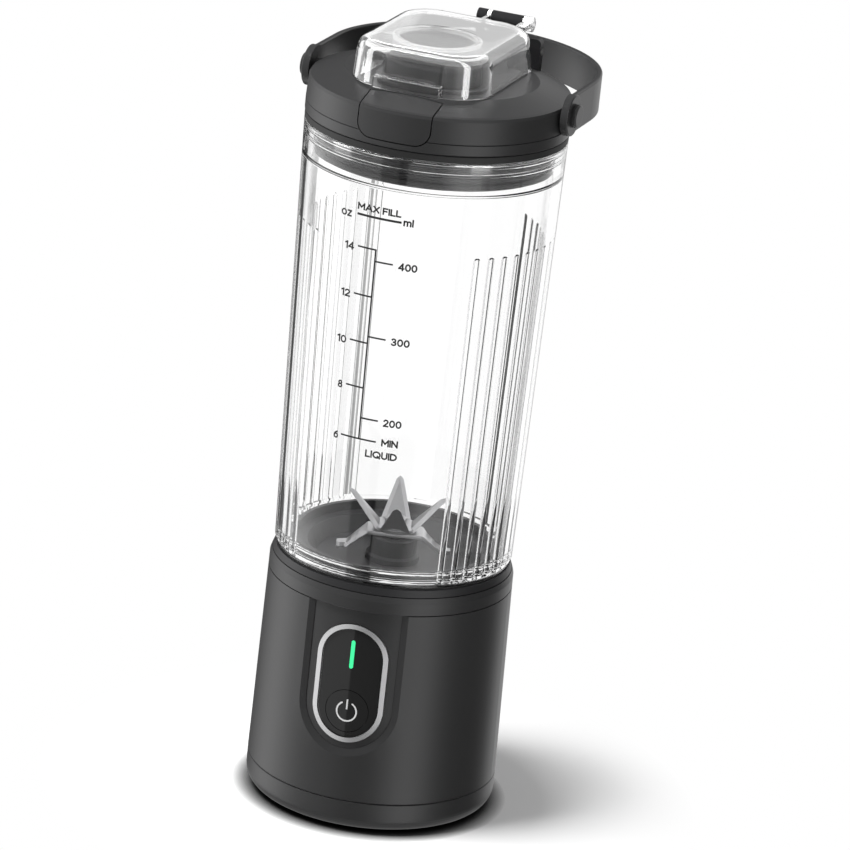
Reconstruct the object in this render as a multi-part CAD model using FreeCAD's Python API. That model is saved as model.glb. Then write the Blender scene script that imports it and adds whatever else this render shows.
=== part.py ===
import FreeCAD, Part
import math
import os

Vector = FreeCAD.Vector

# Cordless portable blender. Origin: centre of the resting face; -Y is the front, +Z is up.
# Lengths in millimetres, angles in degrees.

# Clearances
fit = 0.1                 # between pieces that do not move
play = 0.3                # around pieces that move
run = 0.03                # radial, shaft in its bearing
beyond = 60.0             # how far cutting tools reach past the axis

# Base: outer form
pad_proud = 0.9           # how far the foot pad stands below the bottom cap
pad_thick = 1.9
pad_radius = 33.0
cap_edge_round = 4.6
cap_floor_thick = 1.8
seam_z = 10.7             # joint of bottom cap and housing
seam_flare = 1.05         # the seam is wider than the housing's top
housing_top_radius = 38.45
housing_wall = 2.6
seam_chamfer = 0.25
collar_height = 5.6       # plain band of the collar, up to the seam under the deck's rim
collar_bevel = 1.8        # height of its sloping edge
collar_slope = 0.32       # how fast collar and rim draw in above the bevel's foot, per mm of height
collar_spigot = 4.0       # how deep the collar reaches into the housing
collar_spigot_wall = 2.2

# Base: control panel
recess_half = 14.0        # floor of the U-shaped recess
recess_bottom_z = 27.5
recess_depth = 1.1
recess_bevel = 2.2
ring_half = 11.35
ring_bottom_z = 29.7
ring_top_drop = 4.9       # below the top of the housing
ring_width = 1.5
ring_proud = 0.45         # above the floor of the recess
inlay_sink = 0.1          # inlay below the floor of the recess
inlay_inset = 4.45        # back of the inlay, from the housing's top radius
panel_reach = 9.0         # of the prisms that shape the panel, past the inlay's back
button_z = 39.8
button_radius = 6.8
button_travel = 0.5
button_flange = 0.8       # wider than the button, keeps it in
button_thick = 1.25
light_drop = 10.0          # middle of the light, below the top of the ring
light_length = 9.2
light_width = 1.2
board_thick = 1.2
board_half = 8.5
board_bottom_z = 32.0
board_top_drop = 2.2      # below the top of the ring
switch_size = 6.0
switch_height = 1.0

# Base: motor and drive line
motor_radius = 13.9
motor_length = 38.8
motor_wall = 1.5
motor_boss_radius = 5.0
motor_shaft_radius = 1.5
magnet_thick = 2.0
air_gap = 0.6
mount_gap = 1.85          # round the mount's plate
mount_thick = 2.6
mount_post_height = 6.8
mount_post_inset = 4.0    # posts, from the plate's edge
screw_radius = 1.5
screw_head_radius = 2.7
screw_head_height = 1.6
coupling_radius = 6.0
coupling_length = 8.7
shaft_reach = 4.4         # of the motor shaft above the mount
spindle_radius = 2.5
spindle_tang_radius = 2.0

# Base: cells and charging
cell_radius = 9.1
cell_length = 49.5
cell_offset_x = 24.3
cell_pad_thick = 1.6
cup_height = 14.0         # of the holder around each cell
holder_thick = 2.0
base_screw_inset = 9.5    # from the seam's radius
base_screw_length = 17.0
boss_height = 13.0        # of the screw bosses in the housing
port_z = 20.0
port_cover_width = 14.4
port_cover_height = 8.4
port_cover_thick = 1.4
socket_width = 9.0
socket_height = 3.3
charge_board_inset = 8.5  # from the seam's radius

# Blade deck
deck_ledge_depth = 1.6    # where the deck sits in the collar, below the collar's top
deck_seat_wall = 4.45     # of the collar around the deck's flange
deck_rim_height = 2.4     # visible rim between collar and jar
deck_ring_height = 4.8    # threaded ring above the rim
deck_ring_radius = 32.6
deck_ring_inner = 30.6
deck_step_height = 1.9
deck_step_inner = 27.0
deck_floor_depth = 0.5
deck_floor_radius = 24.0
deck_floor_thick = 2.2
deck_body_radius = 27.3
hub_radius = 7.3
hub_height = 8.0
hub_foot_radius = 8.4
hub_foot_height = 1.7
bearing_radius = 5.5
bearing_height = 3.0
thread_ridge = 0.7
thread_height = 1.3

# Blades
blade_thick = 1.2
blade_rest_angle = 14.0
upper_arm_count = 4
upper_hub_radius = 7.0
upper_arm_length = 13.8
upper_arm_root = 4.4
upper_arm_tip = 0.7
upper_pitch = 49.0
lower_half_width = 4.6
lower_tip_half_width = 2.6
lower_flat = 8.5
lower_drop = 5.4
lower_knee = 15.5
lower_reach = 20.4
washer_thick = 0.5
nut_radius = 3.6
nut_height = 2.4

# Jar
jar_turn = -2.5           # where the jar's thread stops, seen from above
jar_seal_thick = 0.6
jar_foot_height = 1.6
jar_foot_radius = 36.75
jar_bottom_radius = 37.29
jar_height = 137.2
jar_top_radius = 40.5
jar_wall = 2.9
rib_window = 42.0         # half angle of the smooth front and of the smooth back
rib_count = 14            # on each side
rib_radius = 1.1
rib_proud = 0.7           # on the inner wall
rib_foot = 2.6            # above the jar's lower edge
rib_length = 103.4

# Lid
lid_turn = -4.9           # where the lid's thread stops, seen from above
gasket_height = 2.4
gasket_radius = 40.5
lid_collar_height = 3.6
collar_radius = 40.65
lid_rim_height = 8.1
lid_edge_radius = 40.2
lid_edge_round = 1.2
lid_crown = 2.9
lid_top_radius = 30.0
lid_wall = 2.2
plug_depth = 9.7          # below the jar's upper edge
plug_radius = 35.6
plug_wall = 2.6
plug_seal_radius = 0.9    # of the O-ring's section
plug_seal_mean = 35.9     # radius of the ring's middle

# Release lever
lever_half = 11.5
lever_overlap = 1.5       # how far it hangs over the collar
lever_back_y = -30.5
lever_skin = 2.0
lever_corner = 4.5
lever_pivot_y = -37.0
lever_pivot_drop = 6.1    # below the top of the lid
lever_boss_radius = 1.6
lever_boss_inset = 2.5
lever_pin_radius = 0.8
lever_seam = 0.35
lever_swing = 0.9         # room behind the lever's lower edge
pocket_depth = 5.0        # behind the outer face of the lid
spring_wire_radius = 0.25
spring_turns = 4
spring_pitch = 0.8
spring_leg = 2.0

# Spout block
block_half = 17.5
block_front_y = -22.0
block_back_y = 22.0
block_height = 7.2
block_front_round = 13.0
block_back_round = 4.0
spout_y = -7.5
spout_proud = 3.2
spout_rim_radius = 13.3
spout_foot_radius = 15.0
spout_bore = 11.9
spout_throat = 9.5

# Flip cap and its hinge
cap_half = 22.0
cap_front_y = -30.0
cap_back_y = 26.0
cap_front_round = 14.0
cap_back_round = 8.0
cap_top_half = 21.4
cap_top_front_y = -29.0
cap_top_back_y = 27.0
cap_top_front_round = 13.0
cap_top_back_round = 14.0
cap_wall = 1.6
cap_top_round = 4.0
tab_half = 10.8
tab_depth = 2.9
tab_height = 3.7
hinge_y = 30.0
hinge_sink = 1.0          # of the hinge axis below the top of the cap
knuckle_radius = 2.3
hinge_pin_radius = 0.9
hinge_left = -0.4         # outer ends of the two black knuckles
hinge_right = 14.3
short_knuckle_width = 3.0
clear_rib_width = 1.2     # between the black knuckles
clear_knuckle_width = 3.0
tower_half = 20.8
tower_height = 7.7        # of its shoulders above the top of the lid
tower_back_y = 32.6
tower_thick = 3.0
tower_pin_drop = 3.9
tower_pin_radius = 1.1
tower_pin_length = 5.0
cap_seal_height = 0.8
cap_seal_width = 2.2
cap_seal_gap = 0.2

# Carrying handle
handle_pivot_drop = 2.5   # below the lid's upper edge
handle_outer = 42.9       # outside radius of the bend and half width between the arms' outer faces
handle_thick = 1.9
handle_height = 12.2
handle_arm = 19.0
eye_radius = 6.4
eye_thick = 0.5           # eye stands proud of the arm
handle_pin_radius = 2.2
pin_head_radius = 3.6
pin_head_height = 1.6

# Radii and levels, worked out from the ones above
seam_radius = housing_top_radius + seam_flare
mount_radius = housing_top_radius - housing_wall - mount_gap
mount_post_pcr = mount_radius - mount_post_inset
base_screw_pcr = seam_radius - base_screw_inset
deck_flange_radius = housing_top_radius - deck_seat_wall
inlay_back_y = inlay_inset - housing_top_radius
panel_back_y = inlay_back_y + panel_reach
charge_board_y = seam_radius - charge_board_inset
cap_floor_z = pad_thick + cap_floor_thick
holder_z = seam_z + fit
cell_z = holder_z + holder_thick
mount_z = cell_z + cell_length + cell_pad_thick
mount_top_z = mount_z + mount_thick
motor_top_z = mount_z - fit
motor_bottom_z = motor_top_z - motor_length
housing_top_z = mount_top_z + mount_post_height + fit
collar_lip_z = housing_top_z + collar_height
ring_top_z = housing_top_z - ring_top_drop
light_z = ring_top_z - light_drop
board_top_z = ring_top_z - board_top_drop
deck_ledge_z = collar_lip_z - deck_ledge_depth
rim_z = collar_lip_z + deck_rim_height
deck_ring_top_z = rim_z + deck_ring_height
deck_step_z = rim_z + deck_step_height
deck_floor_z = collar_lip_z - deck_floor_depth
hub_top_z = deck_floor_z + hub_height
hub_foot_z = deck_floor_z + hub_foot_height
jar_bottom_z = rim_z + jar_seal_thick
jar_shoulder_z = jar_bottom_z + jar_foot_height
jar_top_z = jar_bottom_z + jar_height
rib_bottom_z = jar_bottom_z + rib_foot
rib_top_z = rib_bottom_z + rib_length
plug_bottom_z = jar_top_z - plug_depth
plug_seal_z = plug_bottom_z + plug_seal_radius + 0.6
gasket_top_z = jar_top_z + gasket_height
collar_top_z = gasket_top_z + lid_collar_height
shell_bottom_z = collar_top_z + fit
lid_edge_z = collar_top_z + lid_rim_height
lid_top_z = lid_edge_z + lid_crown
lever_bottom_z = collar_top_z - lever_overlap
lever_pivot_z = lid_top_z - lever_pivot_drop
block_top_z = lid_top_z + block_height
spout_top_z = block_top_z + spout_proud
cap_bottom_z = lid_top_z + play
cap_top_z = spout_top_z + cap_seal_gap + cap_seal_height + cap_wall
tab_bottom_z = cap_bottom_z + play
hinge_z = cap_top_z - hinge_sink
short_knuckle = (hinge_left, hinge_left + short_knuckle_width)
clear_rib = (short_knuckle[1] + play, short_knuckle[1] + play + clear_rib_width)
long_knuckle = (clear_rib[1] + play, hinge_right)
clear_knuckle = (hinge_right + play, hinge_right + play + clear_knuckle_width)
tower_shoulder_z = lid_top_z + tower_height
tower_pin_z = tower_shoulder_z - tower_pin_drop
handle_pivot_z = lid_edge_z - handle_pivot_drop
lip_bevel_z = collar_lip_z - collar_bevel


def housing_radius(z):
    slope = (housing_top_radius - seam_radius) / (housing_top_z - seam_z)
    return seam_radius + slope * (z - seam_z)


def lip_radius(z):
    """Outer slope of the collar and of the deck's rim above it."""
    return housing_top_radius - 0.05 - collar_slope * (z - lip_bevel_z)


def jar_radius(z):
    slope = (jar_top_radius - jar_bottom_radius) / (jar_top_z - jar_bottom_z)
    return jar_bottom_radius + slope * (z - jar_bottom_z)


def polar(radius, azimuth, z):
    """Azimuth 0 is the front, positive towards +X."""
    angle = math.radians(azimuth)
    return Vector(radius * math.sin(angle), -radius * math.cos(angle), z)


def cylinder(radius, z0, z1, x=0.0, y=0.0):
    return Part.makeCylinder(radius, z1 - z0, Vector(x, y, z0))


def tube(inner, outer, z0, z1, x=0.0, y=0.0):
    return cylinder(outer, z0, z1, x, y).cut(cylinder(inner, z0 - 1, z1 + 1, x, y))


def cross_cylinder(radius, x0, x1, y, z):
    return Part.makeCylinder(radius, x1 - x0, Vector(x0, y, z), Vector(1, 0, 0))


def box(x0, x1, y0, y1, z0, z1):
    return Part.makeBox(x1 - x0, y1 - y0, z1 - z0, Vector(x0, y0, z0))


def lathe(points):
    """Solid of revolution from (radius, height) corners."""
    corners = [Vector(r, 0, z) for r, z in points]
    face = Part.Face(Part.makePolygon(corners + corners[:1]))
    return face.revolve(Vector(0, 0, 0), Vector(0, 0, 1), 360)


def union(shapes):
    return shapes[0].multiFuse(shapes[1:]).removeSplitter()


def around(shape, azimuths):
    """Copies of a shape that stands at the front, turned to each azimuth."""
    copies = []
    for azimuth in azimuths:
        copy = shape.copy()
        copy.rotate(Vector(0, 0, 0), Vector(0, 0, 1), azimuth)
        copies.append(copy)
    return copies


def turned(shape, angle):
    copy = shape.copy()
    copy.rotate(Vector(0, 0, 0), Vector(0, 0, 1), angle)
    return copy


def round_edges(shape, radius, wanted):
    edges = [edge for edge in shape.Edges if wanted(edge)]
    return shape.makeFillet(radius, edges)


def circle_at(z, radius):
    """Test for the circular edges of a turned piece."""
    def wanted(edge):
        low, high = edge.BoundBox.ZMin, edge.BoundBox.ZMax
        reach = edge.BoundBox.XMax
        return abs(low - z) < 0.01 and abs(high - z) < 0.01 and abs(reach - radius) < 0.01
    return wanted


def stadium_prism(half, z0, z1, y0, y1):
    """Upright prism with round ends, its axis along Y."""
    length = y1 - y0
    low = Part.makeCylinder(half, length, Vector(0, y0, z0 + half), Vector(0, 1, 0))
    high = Part.makeCylinder(half, length, Vector(0, y0, z1 - half), Vector(0, 1, 0))
    return union([low, high, box(-half, half, y0, y1, z0 + half, z1 - half)])


def rounded_wire(half, y0, y1, front_round, back_round, z):
    """Outline with two round front corners and two round back corners."""
    f, b = front_round, back_round
    diagonal = math.sqrt(0.5)

    def arc(start, middle, end):
        return Part.Arc(Vector(*start, z), Vector(*middle, z), Vector(*end, z)).toShape()

    def line(start, end):
        return Part.makeLine(Vector(*start, z), Vector(*end, z))

    front, back = y0 + f, y1 - b
    edges = [
        line((-half + f, y0), (half - f, y0)),
        arc((half - f, y0), (half - f + f * diagonal, front - f * diagonal), (half, front)),
        line((half, front), (half, back)),
        arc((half, back), (half - b + b * diagonal, back + b * diagonal), (half - b, y1)),
        line((half - b, y1), (-half + b, y1)),
        arc((-half + b, y1), (-half + b - b * diagonal, back + b * diagonal), (-half, back)),
        line((-half, back), (-half, front)),
        arc((-half, front), (-half + f - f * diagonal, front - f * diagonal), (-half + f, y0)),
    ]
    return Part.Wire(edges)


def rounded_prism(half, y0, y1, front_round, back_round, z0, z1):
    wire = rounded_wire(half, y0, y1, front_round, back_round, z0)
    return Part.Face(wire).extrude(Vector(0, 0, z1 - z0))


def housing_cone(inset, z0, z1):
    return Part.makeCone(housing_radius(z0) - inset, housing_radius(z1) - inset, z1 - z0, Vector(0, 0, z0))


def screw(radius, length, head_z, x, y):
    """Pan head below, shank going up."""
    head = cylinder(screw_head_radius, head_z, head_z + screw_head_height, x, y)
    shank = cylinder(radius, head_z, head_z + length, x, y)
    slot = box(x - 0.4, x + 0.4, y - 1.8, y + 1.8, head_z - 1, head_z + 0.7)
    return head.fuse(shank).cut(slot)


# Base casing

base_screw_azimuths = (45, 135, 225, 315)
cap_inner_radius = seam_radius - housing_wall
boss_radius = 3.2
spigot_height = 2.4


def base_cap():
    arc_r = cap_edge_round
    flat_radius = seam_radius - arc_r
    steps = 8
    edge = []
    for step in range(steps + 1):
        angle = math.radians(90.0 * step / steps)
        edge.append((flat_radius + arc_r * math.sin(angle), pad_proud + arc_r * (1 - math.cos(angle))))
    outline = [(0, pad_proud)] + edge + [
        (seam_radius, seam_z - fit - seam_chamfer),
        (seam_radius - seam_chamfer, seam_z - fit),
        (cap_inner_radius - fit, seam_z - fit),
        (cap_inner_radius - fit, seam_z + spigot_height),
        (cap_inner_radius - housing_wall, seam_z + spigot_height),
        (cap_inner_radius - housing_wall, cap_floor_z),
        (0, cap_floor_z)]
    shell = lathe(outline)
    pad_seat = cylinder(pad_radius + fit, pad_proud - 1, pad_thick)
    post = cylinder(boss_radius, cap_floor_z - 0.5, seam_z - fit, 0, -base_screw_pcr)
    ribs = [box(-20, 20, y - 1, y + 1, cap_floor_z - 0.5, holder_z) for y in (-12, 12)]
    shell = union([shell] + around(post, base_screw_azimuths) + ribs)
    hole = cylinder(screw_radius + fit, 0, seam_z + 5, 0, -base_screw_pcr)
    sink = cylinder(screw_head_radius + fit, 0, pad_thick + fit + screw_head_height, 0, -base_screw_pcr)
    return shell.cut(pad_seat).cut(union(around(hole.fuse(sink), base_screw_azimuths)))


def foot_pad():
    return lathe([(0, 0), (pad_radius - 0.6, 0), (pad_radius, 0.6), (pad_radius, pad_thick), (0, pad_thick)])


def base_screws():
    one = screw(screw_radius, base_screw_length, pad_thick + fit, 0, -base_screw_pcr)
    return Part.makeCompound(around(one, base_screw_azimuths))


def recess_tool():
    """U-shaped prism, open at the top."""
    low = Part.makeCylinder(recess_half, beyond + panel_back_y, Vector(0, -beyond, recess_bottom_z + recess_half), Vector(0, 1, 0))
    high = box(-recess_half, recess_half, -beyond, panel_back_y, recess_bottom_z + recess_half, housing_top_z + 5)
    return low.fuse(high).removeSplitter().cut(housing_cone(recess_depth, seam_z - 5, housing_top_z + 6))


def port_block(margin, inset):
    """Block at the back, shaped like the charging port cover."""
    half_w = port_cover_width / 2 + margin
    half_h = port_cover_height / 2 + margin
    block = box(-half_w, half_w, 25, 45, port_z - half_h, port_z + half_h)
    return block.cut(housing_cone(inset, port_z - 15, port_z + 15))


def motor_housing():
    z0, z1 = seam_z, housing_top_z - fit
    shell = housing_cone(0, z0, z1).cut(housing_cone(housing_wall, z0 - 1, z1 + 1))
    shell = shell.makeChamfer(seam_chamfer, [e for e in shell.Edges if circle_at(z0, seam_radius)(e)])
    boss_top = seam_z + boss_height
    boss = cylinder(boss_radius, z0 + fit, boss_top, 0, -base_screw_pcr)
    web = box(-1, 1, -housing_radius(seam_z) + housing_wall / 2, -base_screw_pcr, z0 + spigot_height + 0.5, boss_top)
    bosses = union(around(boss.fuse(web), base_screw_azimuths))
    pilot = cylinder(screw_radius + fit / 2, z0 - 5, boss_top - 1, 0, -base_screw_pcr)
    bosses = bosses.cut(union(around(pilot, base_screw_azimuths)))
    shell = shell.fuse(bosses.common(housing_cone(housing_wall / 2, z0, z1)))
    shell = shell.cut(recess_tool())
    shell = bevel_recess(shell)
    window = stadium_prism(ring_half + fit, ring_bottom_z - fit, ring_top_z + fit, -beyond, panel_back_y)
    port = stadium_hole(socket_width + 2 * play, socket_height + 2 * play)
    recess = port_block(play, port_cover_thick + fit)
    return shell.cut(window).cut(port).cut(recess)


def bevel_recess(shell):
    """Slope the wall of the recess out to the surface of the housing."""
    limit = recess_half + 0.5

    def on_rim(edge):
        b = edge.BoundBox
        if b.YMax > -20 or b.XMin < -limit or b.XMax > limit or b.ZMin < recess_bottom_z - 0.5:
            return False
        if b.ZMax > housing_top_z - fit - 0.01 and b.ZLength < 1:
            return False
        middle = edge.valueAt((edge.FirstParameter + edge.LastParameter) / 2)
        return abs(math.hypot(middle.x, middle.y) - housing_radius(middle.z)) < 0.05

    rim = [edge for edge in shell.Edges if on_rim(edge)]
    return shell.makeChamfer(recess_bevel, recess_depth - 0.15, rim)


def stadium_hole(width, height):
    half = height / 2
    reach = width / 2 - half
    ends = [Part.makeCylinder(half, 20, Vector(x, 25, port_z), Vector(0, 1, 0)) for x in (-reach, reach)]
    return union(ends + [box(-reach, reach, 25, 45, port_z - half, port_z + half)])


def base_collar():
    spigot = housing_radius(housing_top_z) - housing_wall - fit
    bore = deck_body_radius + fit
    points = [
        (housing_top_radius - seam_chamfer, housing_top_z),
        (housing_top_radius, housing_top_z + seam_chamfer),
        (lip_radius(lip_bevel_z), lip_bevel_z),
        (lip_radius(collar_lip_z), collar_lip_z),
        (deck_flange_radius + fit, collar_lip_z),
        (deck_flange_radius + fit, deck_ledge_z),
        (bore, deck_ledge_z),
        (bore, housing_top_z),
        (spigot - collar_spigot_wall, housing_top_z),
        (spigot - collar_spigot_wall, housing_top_z - collar_spigot),
        (spigot, housing_top_z - collar_spigot),
        (spigot, housing_top_z)]
    ring = lathe(points)
    up = cylinder(screw_radius + fit / 2, housing_top_z - 1, deck_ledge_z - 1, 0, -mount_post_pcr)
    through = cylinder(screw_radius + fit / 2, housing_top_z - 1, deck_ledge_z + 1, 0, -deck_screw_pcr)
    return ring.cut(union(around(up, mount_azimuths) + around(through, deck_screw_azimuths)))


# Control panel

def panel_skin(tool, outer_inset, inner_y):
    """What a prism along Y cuts out between a surface of the housing and an inner plane."""
    skin = tool.common(housing_cone(outer_inset, seam_z, housing_top_z))
    return skin.cut(box(-beyond, beyond, inner_y, beyond, 0, housing_top_z + beyond))


def panel_ring():
    outer = stadium_prism(ring_half, ring_bottom_z, ring_top_z, -beyond, panel_back_y)
    inner = stadium_prism(ring_half - ring_width, ring_bottom_z + ring_width, ring_top_z - ring_width, -50, -20)
    ring = panel_skin(outer.cut(inner), recess_depth - ring_proud, -30)
    return ring.cut(housing_cone(housing_wall, seam_z, housing_top_z))


def button_bore(radius, y0, y1):
    return Part.makeCylinder(radius, y1 - y0, Vector(0, y0, button_z), Vector(0, 1, 0))


button_face_inset = recess_depth + inlay_sink
button_flange_y = -(housing_radius(button_z) - button_face_inset) + button_thick


def panel_inlay():
    reach = ring_half - ring_width - fit
    body = stadium_prism(reach, ring_bottom_z + ring_width + fit, ring_top_z - ring_width - fit, -beyond, panel_back_y)
    body = panel_skin(body, button_face_inset, inlay_back_y)
    body = body.cut(button_bore(button_radius + 0.2, -beyond, panel_back_y))
    body = body.cut(button_bore(button_radius + button_flange + play, button_flange_y - fit, panel_back_y))
    half = light_length / 2 + fit
    return body.cut(stadium_prism(light_width / 2 + fit, light_z - half, light_z + half, -beyond, panel_back_y))


def power_button():
    disc = button_bore(button_radius, -beyond, button_flange_y).common(
        housing_cone(button_face_inset, seam_z, housing_top_z))
    flange = button_bore(button_radius + button_flange, button_flange_y, button_flange_y + 0.8)
    return disc.fuse(flange).removeSplitter()


def light_bar():
    half = light_length / 2
    bar = stadium_prism(light_width / 2, light_z - half, light_z + half, -beyond, panel_back_y)
    return panel_skin(bar, button_face_inset, inlay_back_y - 1.0)


def led_chip():
    return box(-0.5, 0.5, inlay_back_y - 0.9, inlay_back_y, light_z - 1.5, light_z + 1.5)


def control_board():
    return box(-board_half, board_half, inlay_back_y, inlay_back_y + board_thick, board_bottom_z, board_top_z)


def button_switch():
    half = switch_size / 2
    body = box(-half, half, inlay_back_y - switch_height, inlay_back_y, button_z - half, button_z + half)
    tip_y = button_flange_y + 0.8 + button_travel + 0.05
    if tip_y < inlay_back_y - switch_height:
        body = body.fuse(button_bore(1.7, tip_y, inlay_back_y - 0.5))
    return body


# Motor and what holds it

mount_azimuths = (60, 180, 300)
deck_screw_azimuths = (0, 120, 240)
deck_screw_pcr = (deck_body_radius + deck_flange_radius) / 2 + fit
motor_screw_pcr = 8.0


def motor_can():
    can = cylinder(motor_radius, motor_bottom_z, motor_top_z)
    can = round_edges(can, 1.2, circle_at(motor_top_z, motor_radius))
    boss = cylinder(motor_boss_radius, motor_top_z - 0.5, mount_top_z - 0.4)
    cavity = cylinder(motor_radius - motor_wall, motor_bottom_z - 1, motor_top_z - motor_wall)
    bore = cylinder(motor_shaft_radius + run, motor_bottom_z, mount_top_z + 5)
    holes = [cylinder(screw_radius - 0.2, motor_top_z - 5, motor_top_z + 5, x, 0)
             for x in (-motor_screw_pcr, motor_screw_pcr)]
    return union([can, boss]).cut(cavity).cut(bore).cut(holes[0]).cut(holes[1])


def motor_end_cap():
    cap = lathe([(0, motor_bottom_z - 2.2), (motor_radius - 2, motor_bottom_z - 2.2),
                 (motor_radius - 1.4, motor_bottom_z - fit), (motor_radius - motor_wall - fit, motor_bottom_z - fit),
                 (motor_radius - motor_wall - fit, motor_bottom_z + 1.2), (0, motor_bottom_z + 1.2)])
    return cap.cut(cylinder(motor_shaft_radius + run, motor_bottom_z - 0.8, motor_bottom_z + 5))


def motor_magnets():
    outer = motor_radius - motor_wall - fit
    shell = tube(outer - magnet_thick, outer, motor_bottom_z + 5, motor_top_z - 6)
    slot = box(-2.2, 2.2, -20, 20, motor_bottom_z, motor_top_z)
    return shell.cut(slot)


def armature():
    radius = motor_radius - motor_wall - fit - magnet_thick - air_gap
    core = cylinder(radius, motor_bottom_z + 6.5, motor_top_z - 7.5)
    slot = box(-0.8, 0.8, -radius - 1, -radius + 3, motor_bottom_z, motor_top_z)
    core = core.cut(union(around(slot, (0, 72, 144, 216, 288))))
    commutator = cylinder(motor_shaft_radius + 2.0, motor_bottom_z + 2.2, motor_bottom_z + 7)
    return core.fuse(commutator).cut(cylinder(motor_shaft_radius, 0, motor_top_z))


def motor_shaft():
    return cylinder(motor_shaft_radius, motor_bottom_z - 0.4, mount_top_z + shaft_reach)


def motor_mount():
    plate = cylinder(mount_radius, mount_z, mount_top_z)
    post = cylinder(boss_radius, mount_top_z - 0.5, housing_top_z - fit, 0, -mount_post_pcr)
    plate = union([plate] + around(post, mount_azimuths))
    plate = plate.cut(cylinder(motor_boss_radius + fit, 0, mount_top_z + 5))
    hole = cylinder(screw_radius + fit, motor_top_z - 5, housing_top_z + 5, 0, -mount_post_pcr)
    plate = plate.cut(union(around(hole, mount_azimuths)))
    for x in (-motor_screw_pcr, motor_screw_pcr):
        plate = plate.cut(cylinder(screw_radius + fit, motor_top_z - 5, mount_top_z + 5, x, 0))
    return plate.cut(box(-board_half - 1, board_half + 1, -beyond, board_room_y, 0, mount_top_z + 10))


board_room_y = inlay_back_y + board_thick + 0.6


def motor_screws():
    screws = []
    for x in (-motor_screw_pcr, motor_screw_pcr):
        head = cylinder(screw_head_radius, mount_top_z + fit, mount_top_z + fit + screw_head_height, x, 0)
        shank = cylinder(screw_radius - 0.2, motor_top_z - 1.4, mount_top_z + 1, x, 0)
        screws.append(head.fuse(shank).cut(cylinder(coupling_radius + play, mount_top_z, housing_top_z)))
    return Part.makeCompound(screws)


def mount_screws():
    length = deck_ledge_z - 1.5 - (motor_top_z - screw_head_height)
    one = screw(screw_radius, length, motor_top_z - screw_head_height, 0, -mount_post_pcr)
    return Part.makeCompound(around(one, mount_azimuths))


# Cells and charging

def holder_outline():
    plate = cylinder(cap_inner_radius - housing_wall - 1.0, holder_z, cell_z)
    notch = cylinder(boss_radius + 0.4, 0, 60, 0, -base_screw_pcr)
    return plate.cut(union(around(notch, base_screw_azimuths)))


def battery_holder():
    cups = []
    for x in (-cell_offset_x, cell_offset_x):
        cups.append(cylinder(cell_radius + 1.5, holder_z, holder_z + cup_height, x, 0))
    shape = union([holder_outline()] + cups).common(cylinder(cap_inner_radius - housing_wall - 1.0, 0, 60))
    for x in (-cell_offset_x, cell_offset_x):
        shape = shape.cut(cylinder(cell_radius + fit, cell_z, 60, x, 0))
    shape = shape.cut(cylinder(motor_radius + 0.6, cell_z, 60))
    return shape.cut(cylinder(10, 0, cell_z + 1))


def battery_cells():
    cells = []
    top = cell_z + cell_length
    for x in (-cell_offset_x, cell_offset_x):
        can = cylinder(cell_radius, cell_z, top - 1.2, x, 0)
        button = cylinder(3.0, top - 1.3, top, x, 0)
        cells.append(can.fuse(button))
    return Part.makeCompound(cells)


def cell_pads():
    z0 = cell_z + cell_length
    pads = [cylinder(cell_radius - 0.6, z0, mount_z, x, 0) for x in (-cell_offset_x, cell_offset_x)]
    return Part.makeCompound(pads)


def charge_board():
    return box(-9, 9, charge_board_y, charge_board_y + board_thick, cell_z, port_z + 18)


def charge_socket():
    y0 = charge_board_y + board_thick
    y1 = housing_radius(port_z) - port_cover_thick - fit - 0.5
    half = socket_height / 2
    reach = socket_width / 2 - half

    def capsule(inset, start, end):
        ends = [Part.makeCylinder(half - inset, end - start, Vector(x, start, port_z), Vector(0, 1, 0))
                for x in (-reach, reach)]
        return union(ends + [box(-reach, reach, start, end, port_z - half + inset, port_z + half - inset)])

    shell = capsule(0, y0, y1).cut(capsule(0.4, y0 + 1.2, y1 + 1))
    tongue = box(-3.3, 3.3, y0 + 1, y1 - 0.8, port_z - 0.35, port_z + 0.35)
    return shell.fuse(tongue)


def port_cover():
    half_w = port_cover_width / 2
    half_h = port_cover_height / 2
    flap = box(-half_w, half_w, 25, 45, port_z - half_h, port_z + half_h)
    flap = flap.common(housing_cone(0, port_z - 15, port_z + 15))
    flap = flap.cut(housing_cone(port_cover_thick, port_z - 15, port_z + 15))
    back = housing_radius(port_z) - port_cover_thick
    stub = box(-3.4, 3.4, back - 0.9, back + 0.4, port_z - 0.9, port_z + 0.9)
    return flap.fuse(stub).removeSplitter()


# Blade deck and drive line

def thread_ridges(core, ridge, z_low, count, pitch):
    """Plain rings that stand for the turns of a thread; a negative ridge points inwards."""
    rings = []
    for turn in range(count):
        z = z_low + turn * pitch
        rings.append(lathe([(core - 0.4 * math.copysign(1, ridge), z), (core, z), (core + ridge, z + 0.4),
                            (core + ridge, z + thread_height - 0.4), (core, z + thread_height),
                            (core - 0.4 * math.copysign(1, ridge), z + thread_height)]))
    return rings


rim_foot_z = collar_lip_z + 0.25    # leaves a fine dark seam above the collar


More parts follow.
